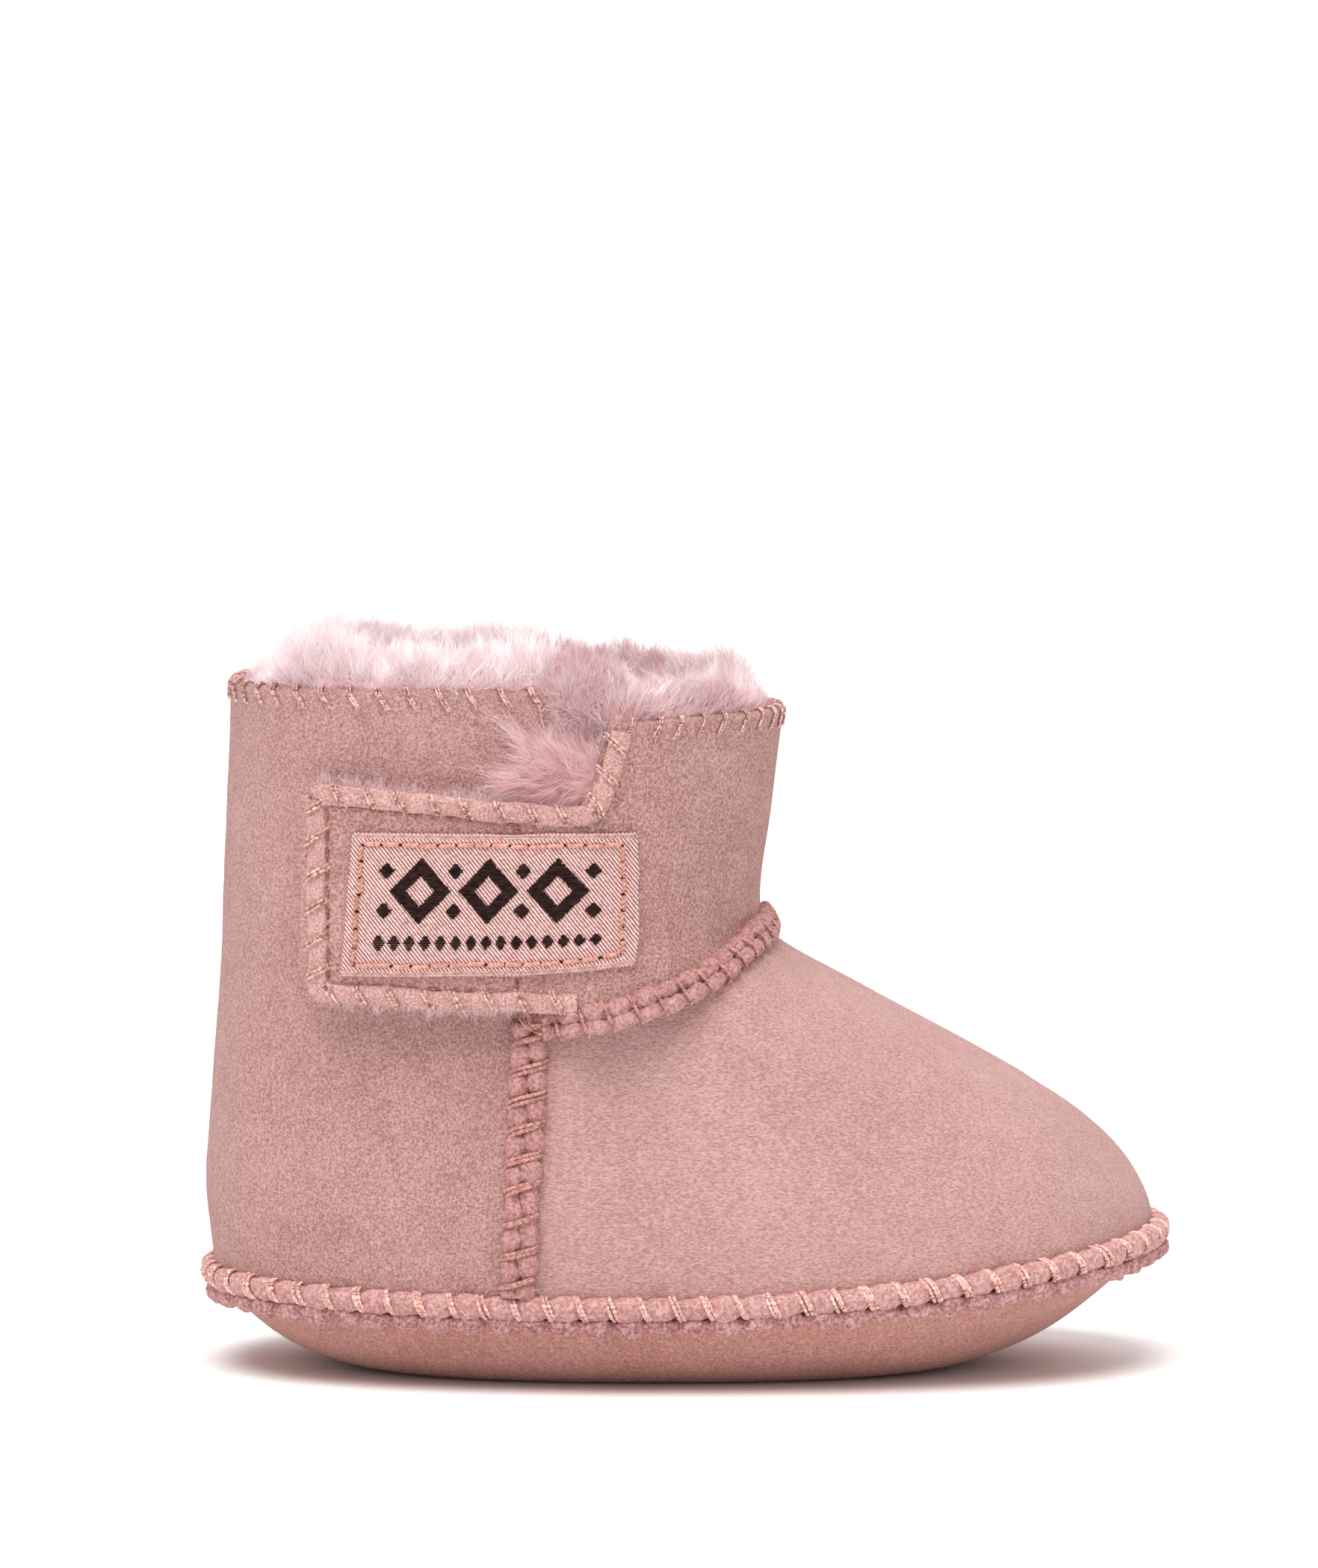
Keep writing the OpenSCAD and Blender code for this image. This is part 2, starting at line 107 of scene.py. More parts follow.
def station(z):
    """Back, front, half width and widest point of the section at height z."""
    z = np.asarray(z, float)
    i = np.clip(np.searchsorted(LEVELS, z, side="left") - 1, 0, len(LEVELS) - 2)
    h = (LEVELS[i + 1] - LEVELS[i])[..., None]
    t = np.clip((z - LEVELS[i])[..., None] / h, 0, 1)
    a, b, sa, sb = STATIONS[i], STATIONS[i + 1], SLOPES[i] * h, SLOPES[i + 1] * h
    row = (a * (2 * t**3 - 3 * t**2 + 1) + sa * (t**3 - 2 * t**2 + t)
           + b * (3 * t**2 - 2 * t**3) + sb * (t**3 - t**2))
    return row[..., 1], row[..., 2], row[..., 3], row[..., 4]


def skin(u, z):
    """Point of the suede's outer face: u is 0 at the toe, -90 on the closure side, 180 at the heel."""
    u, z = np.broadcast_arrays(np.asarray(u, float), np.asarray(z, float))
    back, front, half, wide = station(z)
    c, s = np.cos(np.radians(u)), np.sin(np.radians(u))
    power = np.where(c >= 0, 2 / TOE_POWER, 2 / HEEL_POWER)
    reach = np.where(c >= 0, front - wide, back - wide)
    x = wide + reach * np.abs(c)**power
    y = half * np.sign(s) * np.abs(s)**power
    return np.stack([x, y, z], -1)


def unit(v):
    return v / np.maximum(np.linalg.norm(v, axis=-1, keepdims=True), 1e-9)


def outward(u, z):
    return unit(np.cross(skin(u + 1, z) - skin(u - 1, z), skin(u, z + 0.5) - skin(u, z - 0.5)))


def at(u, z, off=0.0):
    return skin(u, z) + np.asarray(off)[..., None] * outward(u, z)


def turn(x, z):
    """Angle of the point with a given x at height z."""
    back, front, _, wide = station(z)
    d = x - wide
    fore = d >= 0
    r = np.clip(d / np.where(fore, front - wide, back - wide), 0, 1)
    ahead = np.degrees(np.arccos(r**(TOE_POWER / 2)))
    behind = 180 - np.degrees(np.arccos(r**(HEEL_POWER / 2)))
    return np.where(fore, ahead, behind)


def side(x, z, off=0.0):
    """Point on the closure side with a given x and z."""
    return at(-turn(x, z), z, off)


def seam_z(u):
    """Height of the sole seam."""
    d = skin(u, 14.0)[..., 0] + 10
    return 10.4 + np.where(d > 0, 7 * (d / 75)**2, 1.4 * (d / 55)**2)


def seam_x(z):
    return lerp(-22.4, -20, np.clip(z / INSTEP_SIDE, 0, 1))


def free_x(z):
    return np.where(z < INSTEP_SIDE, seam_x(z), lerp(-20, -14, (z - INSTEP_SIDE) / (BACK_TOP - INSTEP_SIDE)))


def far_x(z):
    return np.where(z < INSTEP_SIDE, seam_x(z), lerp(-20, -18, (z - INSTEP_SIDE) / (BACK_TOP - INSTEP_SIDE)))


def vamp_edge(v):
    return INSTEP_SIDE + INSTEP_RISE * np.maximum(0, np.cos(np.radians(90 * v)))**1.2


def cuff_off(u, z):
    off = STAND_OFF * ease((6 - skin(u, z)[..., 0]) / 16) * ease((z - 43.5) / 6.5)
    return np.where(u > 0, 0, off)


def cuff_top(u):
    return FRONT_TOP + FAR_RISE * ease((u - 40) / 50)


def tab_share(x):
    return np.clip((FOLD_X - x) / TAB_L, 0, 1)


def tab_bottom(x):
    return TAB_LOW + TAB_RISE * tab_share(x)


def tab_top(x):
    return TAB_LOW + TAB_H + (TAB_RISE + TAB_FLARE) * tab_share(x)


# ---------------------------------------------------------------- mesh and noise helpers

NOISE = rng.random((32, 32, 32))


def noise(p, size, seed=0.0):
    """Smooth value noise from -1 to 1 at points p, with lumps of the given size in mm."""
    q = np.asarray(p, float) / size + 17.3 * seed + 100
    i = np.floor(q).astype(int)
    f = q - i
    f = f * f * (3 - 2 * f)
    total = 0
    for dx in (0, 1):
        for dy in (0, 1):
            for dz in (0, 1):
                w = (np.where(dx, f[..., 0], 1 - f[..., 0]) * np.where(dy, f[..., 1], 1 - f[..., 1])
                     * np.where(dz, f[..., 2], 1 - f[..., 2]))
                total = total + w * NOISE[(i[..., 0] + dx) % 32, (i[..., 1] + dy) % 32, (i[..., 2] + dz) % 32]
    return 2 * total - 1


def noise_vector(p, size, seed=0.0):
    return np.stack([noise(p, size, seed + k) for k in (1, 2, 3)], -1)


def mesh_object(name, verts, quads=(), tris=(), smooth=True):
    """Mesh object from vertices in mm and index arrays."""
    verts = np.asarray(verts, float).reshape(-1, 3) * MM
    quads = np.asarray(quads, int).reshape(-1, 4)
    tris = np.asarray(tris, int).reshape(-1, 3)
    me = bpy.data.meshes.new(name)
    me.vertices.add(len(verts))
    me.vertices.foreach_set("co", verts.ravel())
    corners = np.concatenate([quads.ravel(), tris.ravel()])
    starts = np.concatenate([np.arange(len(quads)) * 4, len(quads) * 4 + np.arange(len(tris)) * 3])
    me.loops.add(len(corners))
    me.loops.foreach_set("vertex_index", corners)
    me.polygons.add(len(starts))
    me.polygons.foreach_set("loop_start", starts)
    me.update(calc_edges=True)
    me.validate()
    if smooth:
        me.shade_smooth()
    ob = bpy.data.objects.new(name, me)
    bpy.context.scene.collection.objects.link(ob)
    return ob


def finish_piece(ob, mat, body, replaced=()):
    ob.data.materials.clear()
    ob.data.materials.append(mat)
    if body == "bend":
        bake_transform(ob)
    else:
        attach(ob, body)
    if replaced:
        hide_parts(*replaced)
    return ob


def shares(n, m):
    """Grid of n by m shares from 0 to 1."""
    return np.meshgrid(np.linspace(0, 1, n), np.linspace(0, 1, m), indexing="ij")


def ring_mesh(rings, low, high):
    """Closed mesh from a list of rings of SOLE_N points, with a fan to a middle point at both ends."""
    rings = np.stack(rings)
    n = len(rings)
    i, j = np.meshgrid(np.arange(n - 1), np.arange(SOLE_N), indexing="ij")
    e = (j + 1) % SOLE_N
    quads = np.stack([i * SOLE_N + j, (i + 1) * SOLE_N + j, (i + 1) * SOLE_N + e, i * SOLE_N + e], -1)
    j = np.arange(SOLE_N)
    e = (j + 1) % SOLE_N
    hub, last = n * SOLE_N, (n - 1) * SOLE_N
    tris = np.concatenate([np.stack([j, e, np.full(SOLE_N, hub)], -1),
                           np.stack([last + e, last + j, np.full(SOLE_N, hub + 1)], -1)])
    return np.concatenate([rings.reshape(-1, 3), [[0, 0, low], [0, 0, high]]]), quads, tris


def grid_normals(p):
    return unit(np.cross(np.gradient(p, axis=0), np.gradient(p, axis=1)))


def rim_distance(p):
    """Distance of each point of a grid from the grid's outline."""
    rim = np.concatenate([p[0], p[-1], p[:, 0], p[:, -1]])
    tree = KDTree(len(rim))
    for k, q in enumerate(rim):
        tree.insert(q, k)
    tree.balance()
    flat = p.reshape(-1, 3)
    return np.array([tree.find(q)[2] for q in flat]).reshape(p.shape[:-1])


def skin_sheet(name, mid, thick, rounding, relief=None):
    """Closed sheet of skin around a grid of mid points, with rounded edges. relief(points, rim distance)
    lifts its outer face. Returns the object and its outer grid, normals and rim distances."""
    n, m = mid.shape[0] - 1, mid.shape[1] - 1
    normal = grid_normals(mid)
    d = rim_distance(mid)
    swell = np.sqrt(1 - (1 - np.minimum(d / rounding, 1))**2)[..., None]
    outer = mid + normal * thick / 2 * swell
    if relief is not None:
        outer = outer + normal * (relief(mid, d) * np.minimum(d / rounding, 1))[..., None]
    inner = mid - normal * thick / 2 * swell
    count = (n + 1) * (m + 1)
    ids = np.arange(count).reshape(n + 1, m + 1)
    under = ids.copy()
    under[1:-1, 1:-1] = count + np.arange((n - 1) * (m - 1)).reshape(n - 1, m - 1)
    top = np.stack([ids[:-1, :-1], ids[1:, :-1], ids[1:, 1:], ids[:-1, 1:]], -1).reshape(-1, 4)
    low = np.stack([under[:-1, :-1], under[:-1, 1:], under[1:, 1:], under[1:, :-1]], -1).reshape(-1, 4)
    verts = np.concatenate([outer.reshape(-1, 3), inner[1:-1, 1:-1].reshape(-1, 3)])
    return mesh_object(name, verts, np.concatenate([top, low])), outer, normal, d


def frames(paths):
    """Tangent and two normals along each of a stack of paths (M, K, 3)."""
    t = unit(np.gradient(paths, axis=1))
    ref = np.where(np.abs(t[..., 2:3]) > 0.9, np.array([1.0, 0, 0]), np.array([0, 0, 1.0]))
    a = unit(np.cross(ref, t))
    return t, a, np.cross(t, a)


def tube_mesh(paths, radius, sides=6):
    """Vertices, quads and tris of closed tubes along paths (M, K, 3); radius is a number or (M, K)."""
    m, k, _ = paths.shape
    _, a, b = frames(paths)
    r = np.broadcast_to(radius, (m, k))[..., None, None]
    ang = np.arange(sides) * 2 * np.pi / sides
    ring = a[:, :, None] * np.cos(ang)[None, None, :, None] + b[:, :, None] * np.sin(ang)[None, None, :, None]
    verts = (paths[:, :, None] + ring * r).reshape(-1, 3)
    base = np.arange(m)[:, None, None] * k * sides + np.arange(k - 1)[None, :, None] * sides
    s = np.arange(sides)[None, None, :]
    t = (s + 1) % sides
    quads = np.stack([base + s, base + t, base + sides + t, base + sides + s], -1).reshape(-1, 4)
    ends = np.concatenate([paths[:, 0], paths[:, -1]])
    first = np.arange(m)[:, None] * k * sides
    last = first + (k - 1) * sides
    hub0 = len(verts) + np.arange(m)[:, None]
    hub1 = hub0 + m
    s, t = np.arange(sides)[None], (np.arange(sides)[None] + 1) % sides
    tris = np.concatenate([
        np.stack(np.broadcast_arrays(hub0, first + t, first + s), -1).reshape(-1, 3),
        np.stack(np.broadcast_arrays(hub1, last + s, last + t), -1).reshape(-1, 3)])
    verts = np.concatenate([verts, ends])
    return verts, quads, tris


def join(parts):
    """Joins several (verts, quads, tris) into one."""
    verts, quads, tris, start = [], [], [], 0
    for v, q, t in parts:
        verts.append(v)
        quads.append(np.asarray(q).reshape(-1, 4) + start)
        tris.append(np.asarray(t).reshape(-1, 3) + start)
        start += len(v)
    return np.concatenate(verts), np.concatenate(quads), np.concatenate(tris)


def plied(paths, radius, twist):
    """Twists two plies round each path, as in sewing thread."""
    _, a, b = frames(paths)
    step = np.linalg.norm(np.diff(paths, axis=1), axis=-1)
    run = np.concatenate([np.zeros((len(paths), 1)), np.cumsum(step, 1)], 1)
    out = []
    for p in range(2):
        w = (run / twist + p / 2) * 2 * np.pi
        out.append(paths + radius * 0.5 * (a * np.cos(w)[..., None] + b * np.sin(w)[..., None]))
    return np.concatenate(out)


def thread_mesh(paths, radius, twist=1.1):
    return tube_mesh(plied(paths, radius, twist), radius * 0.62, 6)


# ---------------------------------------------------------------- fibres, ropes and stitches

def ribbons(roots, dirs, lengths, width, face, wave=0.25, wave_size=2.2, seed=0, joints=4):
    """Tapered flat fibres in mm, bent by a smooth field so that neighbours lean together in locks. Their flat
    sides turn roughly towards face."""
    m = len(roots)
    t = np.linspace(0, 1, joints)[None, :, None]
    straight = roots[:, None] + dirs[:, None] * lengths[:, None, None] * t
    field = noise_vector(straight, wave_size, seed) + 0.5 * noise_vector(straight, wave_size * 0.37, seed + 9)
    path = straight + field * wave * lengths[:, None, None] * t
    spread = 0.45 * np.random.default_rng(seed + 5).normal(size=(m, 3))
    across = unit(np.cross(face + spread, dirs))
    half = across[:, None] * (width[:, None] * (1 - 0.6 * t[0, :-1, 0])[None])[..., None] / 2
    pair = np.stack([path[:, :-1] - half, path[:, :-1] + half], 2).reshape(m, -1, 3)
    verts = np.concatenate([pair, path[:, -1:]], 1)
    per = verts.shape[1]
    base = np.arange(m)[:, None] * per
    k = np.arange(joints - 2)[None] * 2
    quads = np.stack([base + k, base + k + 1, base + k + 3, base + k + 2], -1).reshape(-1, 4)
    tip = base[:, 0]
    tris = np.stack([tip + per - 3, tip + per - 2, tip + per - 1], -1)
    flip = np.sum(np.cross(across, dirs) * face, -1) < 0
    quads = np.where(np.repeat(flip, joints - 2)[:, None], quads[:, ::-1], quads)
    tris = np.where(flip[:, None], tris[:, ::-1], tris)
    return verts.reshape(-1, 3), quads, tris


def fur(name, made, mat, body):
    return finish_piece(mesh_object(name, *made), mat, body)


def surface_samples(ob, count, weight, rand):
    """Random points on a mesh with its face normals, in mm; weight(centres, normals) sets their density."""
    me = ob.data
    n = len(me.polygons)
    centre, normal, area = np.empty(n * 3), np.empty(n * 3), np.empty(n)
    me.polygons.foreach_get("center", centre)
    me.polygons.foreach_get("normal", normal)
    me.polygons.foreach_get("area", area)
    centre, normal = centre.reshape(-1, 3) / MM, normal.reshape(-1, 3)
    co = np.empty(len(me.vertices) * 3)
    me.vertices.foreach_get("co", co)
    co = co.reshape(-1, 3) / MM
    share = area * weight(centre, normal)
    pick = rand.choice(n, count, p=share / share.sum())
    starts = np.empty(n, int)
    me.polygons.foreach_get("loop_start", starts)
    loops = np.empty(len(me.loops), int)
    me.loops.foreach_get("vertex_index", loops)
    a, b, c = (co[loops[starts[pick] + k]] for k in range(3))
    far = np.minimum(starts[pick] + 3, len(loops) - 1)
    d = co[loops[far]]
    f, g = rand.random((count, 1)), rand.random((count, 1))
    return a * (1 - f) * (1 - g) + b * f * (1 - g) + c * f * g + d * (1 - f) * g, normal[pick]


def swept(centre, out, up, a, b, sides=14, power=2.4, rough=0.1, grit=1.1, seed=0, ring=False):
    """Rope of rounded sections round a centre line, with radius a along out and b along up."""
    n = len(centre)
    ang = (np.arange(sides) + 0.5) * 2 * np.pi / sides
    c, s = np.cos(ang), np.sin(ang)
    c, s = np.sign(c) * np.abs(c)**(2 / power), np.sign(s) * np.abs(s)**(2 / power)
    arm = out[:, None] * (a[:, None] * c)[..., None] + up[:, None] * (b[:, None] * s)[..., None]
    p = centre[:, None] + arm
    uneven = noise(p, grit, seed) * rough + noise(p, grit * 0.45, seed + 4) * rough * 0.6
    p = p + unit(arm) * uneven[..., None]
    i, j = np.meshgrid(np.arange(n if ring else n - 1), np.arange(sides), indexing="ij")
    k, e = (i + 1) % n, (j + 1) % sides
    quads = np.stack([i * sides + j, i * sides + e, k * sides + e, k * sides + j], -1).reshape(-1, 4)
    verts, tris = p.reshape(-1, 3), np.zeros((0, 3), int)
    if not ring:
        j = np.arange(sides)
        e = (j + 1) % sides
        hub = len(verts)
        verts = np.concatenate([verts, centre[:1], centre[-1:]])
        last = (n - 1) * sides
        tris = np.concatenate([np.stack([np.full(sides, hub), e, j], -1),
                               np.stack([np.full(sides, hub + 1), last + j, last + e], -1)])
    return verts, quads, tris


class Line:
    """A path on the skin, measured along its length: place(s) gives u and z for s in 0..1."""

    def __init__(self, place, lift=0.0, samples=900):
        self.place = place
        self.lift = lift
        s = np.linspace(0, 1, samples)
        u, z = place(s)
        p = at(u, z, self.off(u, z))
        self.sums = np.concatenate([[0], np.cumsum(np.linalg.norm(np.diff(p, axis=0), axis=1))])
        self.s = s
        self.length = self.sums[-1]

    def off(self, u, z):
        return self.lift(u, z) if callable(self.lift) else np.full(np.shape(u), self.lift)

    def point(self, d, out=0.0, up=0.0):
        """Point at distance d, moved out from the skin and up across the line, and both of these axes."""
        s = np.interp(d, self.sums, self.s)
        e = 0.002
        u, z = self.place(s)
        base = at(u, z, self.off(u, z))
        ua, za = self.place(np.clip(s - e, 0, 1))
        ub, zb = self.place(np.clip(s + e, 0, 1))
        along = unit(at(ub, zb, self.off(ub, zb)) - at(ua, za, self.off(ua, za)))
        n = outward(u, z)
        across = unit(np.cross(along, n))
        across = across * np.where(np.sum(across * UP_AXIS, -1, keepdims=True) < 0, -1, 1)
        return base + n * np.asarray(out)[..., None] + across * np.asarray(up)[..., None], n, across


UP_AXIS = np.array([0.15, 0, 1.0])
ROPE_CELL = 0.4


def stitch_places(line, pitch):
    count = max(1, int(round(line.length / pitch)))
    return (np.arange(count) + 0.5) * line.length / count, line.length / count


def pillow(d, places, step, waist):
    """1 between the stitches, down to waist at each of them."""
    gap = np.min(np.abs(d[:, None] - places[None]), 1)
    q = np.clip((gap - STITCH_HALF) / (step / 2 - STITCH_HALF), 0, 1)
    return waist + (1 - waist) * (1 - (1 - q)**3)


def rope_edge(line, places, step, out, up, a, b, waist, slack, ring=False, **more):
    """One turned-out edge of a seam, pulled in at each stitch, its pillows a little uneven."""
    n = int(line.length / ROPE_CELL)
    d = np.linspace(0, line.length, n, endpoint=not ring)
    k = pillow(d, places, step, waist)
    k = k * (1 + 0.13 * noise(np.stack([d, 0 * d + 3 * up, 0 * d], -1), step * 0.8, more.get("seed", 0) + 6))
    wander = noise(np.stack([d, 0 * d + up * 7, 0 * d], -1), 3.2, more.get("seed", 0) + 2) * slack
    centre, axis_out, axis_up = line.point(d, out - a * (1 - k) * 0.8, up + wander)
    return swept(centre, axis_out, axis_up, a * (0.35 + 0.65 * k), b * k, ring=ring, **more)


def wraps(line, places, out, low, high, lean, turn_from=112, wobble=0.12):
    """Whip stitches round a seam: from its upper side over the outside to its lower side."""
    t = np.linspace(1, -1, 30)
    th = np.radians(turn_from) * t
    mid, half = (low + high) / 2, (high - low) / 2
    shift = lean * WHIP_PITCH * t / 2
    jig = rng.normal(0, wobble, (len(places), 2))
    d = places[:, None] + shift[None] + jig[:, :1]
    o = out * np.sign(np.cos(th)) * np.abs(np.cos(th))**0.75
    w = mid + half * np.sin(th) * (1 + 0.3 * jig[:, 1:])
    p, _, _ = line.point(np.clip(d, 0, line.length).ravel(), np.tile(o, len(places)), w.ravel())
    return p.reshape(len(places), len(t), 3)


def tacks(path, lift, arch=0.22):
    """Running stitches: each row of path holds a stitch's two ends as x, z pairs on the closure side."""
    t = np.linspace(0, 1, 14)
    xz = path[:, None, 0] * (1 - t)[None, :, None] + path[:, None, 1] * t[None, :, None]
    off = lift + arch * np.sin(np.pi * t)[None] - 0.25 * (1 - np.sin(np.pi * t)[None])**2
    return side(xz[..., 0], xz[..., 1], np.broadcast_to(off, xz.shape[:2]))


def dashes(a, b, pitch=2.6, fill=0.66):
    """Ends of stitches at an even pitch from a to b."""
    a, b = np.array(a, float), np.array(b, float)
    count = max(1, int(round(np.linalg.norm(b - a) / pitch)))
    mid = (np.arange(count) + 0.5) / count
    half = fill / 2 / count
    return np.stack([a + (b - a) * (mid - half)[:, None], a + (b - a) * (mid + half)[:, None]], 1)


# ---------------------------------------------------------------- materials

def tone(r, g, b):
    """Linear colour from display values of 0 to 255."""
    c = np.array([r, g, b]) / 255
    c = np.where(c <= 0.04045, c / 12.92, ((c + 0.055) / 1.055)**2.4)
    return (*c.tolist(), 1.0)


class Finish:
    """A Principled material with procedural patterns; sizes in mm."""

    def __init__(self, name, colour, rough, specular, sheen=0.0, sheen_rough=0.5, sheen_tint=(1, 1, 1, 1)):
        self.mat = bpy.data.materials.new(name)
        self.mat.use_nodes = True
        self.tree = self.mat.node_tree
        self.shader = self.tree.nodes["Principled BSDF"]
        values = {"Base Color": colour, "Roughness": rough, "Specular IOR Level": specular,
                  "Sheen Weight": sheen, "Sheen Roughness": sheen_rough, "Sheen Tint": sheen_tint}
        for key, value in values.items():
            self.shader.inputs[key].default_value = value

    def node(self, kind, **settings):
        made = self.tree.nodes.new(kind)
        for key, value in settings.items():
            setattr(made, key, value)
        return made

    def link(self, a, b):
        self.tree.links.new(a, b)

    def place(self, size, stretch=(1, 1, 1), spin=(0, 0, 0)):
        coord, mapping = self.node("ShaderNodeTexCoord"), self.node("ShaderNodeMapping")
        mapping.inputs["Scale"].default_value = [1 / (MM * size * k) for k in stretch]
        mapping.inputs["Rotation"].default_value = [math.radians(a) for a in spin]
        self.link(coord.outputs["Object"], mapping.inputs["Vector"])
        return mapping.outputs["Vector"]

    def noise(self, size, detail=3.0, rough=0.55, stretch=(1, 1, 1), spin=(0, 0, 0), twist=0.0):
        n = self.node("ShaderNodeTexNoise")
        n.inputs["Distortion"].default_value = twist
        n.inputs["Scale"].default_value = 1.0
        n.inputs["Detail"].default_value = detail
        n.inputs["Roughness"].default_value = rough
        self.link(self.place(size, stretch, spin), n.inputs["Vector"])
        return n.outputs["Fac"]

    def blend(self, *weighted):
        """Sum of patterns times weights."""
        total = None
        for socket, weight in weighted:
            m = self.node("ShaderNodeMath", operation="MULTIPLY_ADD")
            m.inputs[1].default_value = weight
            m.inputs[2].default_value = 0.0
            self.link(socket, m.inputs[0])
            if total is not None:
                self.link(total, m.inputs[2])
            total = m.outputs[0]
        return total

    def colour(self, socket, *stops):
        ramp = self.node("ShaderNodeValToRGB")
        ends = ramp.color_ramp.elements
        while len(ends) < len(stops):
            ends.new(0.5)
        for end, (place, colour) in zip(ends, stops):
            end.position = place
            end.color = colour
        self.link(socket, ramp.inputs["Fac"])
        self.link(ramp.outputs["Color"], self.shader.inputs["Base Color"])

    def bump(self, socket, depth, strength=0.6):
        b = self.node("ShaderNodeBump")
        b.inputs["Strength"].default_value = strength
        b.inputs["Distance"].default_value = depth * MM
        self.link(socket, b.inputs["Height"])
        self.link(b.outputs["Normal"], self.shader.inputs["Normal"])


def suede(name, dark, mid, light, grain, stretch=(1, 1, 1), spin=(0, 0, 0), depth=0.35):
    """Napped skin: short strokes of nap over soft blotches."""
    f = Finish(name, tone(*mid), rough=0.95, specular=0.12, sheen=0.3, sheen_rough=0.38,
               sheen_tint=tone(250, 226, 220))
    nap = f.noise(grain, 3, 0.7, stretch, spin, 0.3)
    mottle = f.noise(4.0, 3, 0.6)
    cloud = f.noise(24.0, 2)
    f.colour(f.blend((nap, 0.78), (mottle, 0.11), (cloud, 0.11)),
             (0.4, tone(*dark)), (0.5, tone(*mid)), (0.6, tone(*light)))
    f.bump(f.blend((nap, 0.85), (mottle, 0.15)), depth, 0.9)
    return f.mat


def thread_finish(name, dark, light):
    f = Finish(name, tone(*light), rough=0.42, specular=0.5, sheen=0.2)
    strand = f.noise(0.5, 2)
    f.colour(strand, (0.38, tone(*dark)), (0.62, tone(*light)))
    f.bump(f.noise(0.16, 2), 0.05, 0.5)
    return f.mat


def fleece(name, dark, light, size=2.2):
    f = Finish(name, tone(*light), rough=0.95, specular=0.1, sheen=0.5, sheen_rough=0.5)
    lock = f.noise(size, 5, 0.6)
    f.colour(lock, (0.35, tone(*dark)), (0.6, tone(*light)))
    f.bump(lock, 1.0, 0.7)
    return f.mat


def fibre_finish(name, colour, glow=0.0):
    """Plain fine fibres; glow stands for the light that a pale pile scatters from fibre to fibre."""
    f = Finish(name, tone(*colour), rough=0.75, specular=0.25, sheen=0.5)
    f.shader.inputs["Emission Color"].default_value = tone(*colour)
    f.shader.inputs["Emission Strength"].default_value = glow
    return f.mat


SUEDE_BACK = suede("suede_back", (171, 122, 118), (201, 154, 149), (224, 182, 177), 0.33, depth=0.6)
SUEDE_VAMP = suede("suede_vamp", (186, 138, 133), (208, 163, 158), (225, 185, 180), 0.27, (2.1, 1, 0.9),
                   (0, 16, 0), depth=0.5)
SUEDE_CUFF = suede("suede_cuff", (166, 117, 111), (202, 154, 147), (229, 186, 179), 0.36, depth=0.65)
SUEDE_SOLE = suede("suede_sole", (172, 118, 108), (194, 139, 129), (212, 163, 152), 0.4)
SUEDE_RIM = suede("suede_rim", (188, 135, 130), (216, 167, 161), (236, 199, 193), 0.3)
RAW_UPPER = suede("raw_edge_upper", (183, 128, 125), (206, 154, 150), (226, 184, 180), 0.5, depth=0.35)
RAW_LOWER = suede("raw_edge_lower", (156, 102, 102), (192, 138, 136), (221, 177, 173), 0.5, depth=0.5)
RAW_SIDE = suede("raw_edge_side", (170, 112, 110), (196, 142, 140), (216, 170, 166), 0.5, depth=0.4)
THREAD = thread_finish("sewing_thread", (222, 154, 142), (252, 220, 208))
THREAD_DARK = thread_finish("sewing_thread_dark", (132, 78, 70), (186, 128, 116))
THREAD_SIDE = thread_finish("sewing_thread_side", (168, 106, 98), (222, 166, 154))
THREAD_EDGE = thread_finish("sewing_thread_edge", (172, 110, 100), (248, 208, 196))
THREAD_LABEL = thread_finish("label_thread", (206, 134, 118), (238, 180, 160))
# painted shade: near-black dots that stand for the shade inside the needle holes
HOLE_SHADE = Finish("needle_hole_shade", tone(58, 30, 28), rough=1.0, specular=0.0).mat
WOOL_BASE = fleece("wool_base", (228, 182, 187), (242, 212, 215))
WOOL_INNER = fleece("wool_inner", (228, 180, 186), (248, 216, 218), 3.0)
WOOL_WISPS = fibre_finish("wool_wisps", (249, 239, 240), 0.2)
WOOL_TIPS = fibre_finish("wool_fibres_pale", (240, 222, 224), 0.08)
WOOL_MID = fibre_finish("wool_fibres_mid", (237, 211, 214), 0.07)
WOOL_DEEP = fibre_finish("wool_fibres_pink", (234, 198, 202), 0.06)
FRONT_TIPS = fibre_finish("front_fibres_pale", (235, 206, 208), 0.05)
FRONT_MID = fibre_finish("front_fibres_mid", (231, 195, 198), 0.05)
FRONT_DEEP = fibre_finish("front_fibres_pink", (227, 182, 185), 0.05)
TUFT_BASE = fleece("tuft_base", (218, 160, 162), (233, 187, 189))
TUFT_TIPS = fibre_finish("tuft_fibres_pale", (242, 209, 210), 0.06)
TUFT_MID = fibre_finish("tuft_fibres_mid", (233, 190, 192), 0.06)
TUFT_DEEP = fibre_finish("tuft_fibres_pink", (225, 174, 176), 0.06)
NAP_FIBRE = fibre_finish("nap_fibres", (222, 184, 178))


def dark_weave():
    f = Finish("motif_weave", tone(44, 28, 25), rough=0.8, specular=0.1)
    weft = f.noise(0.4, 2, 0.5, (2.5, 1, 0.6))
    f.colour(weft, (0.4, tone(34, 20, 18)), (0.62, tone(62, 42, 38)))
    f.bump(weft, 0.06, 0.6)
    return f.mat


THREAD_MOTIF = dark_weave()


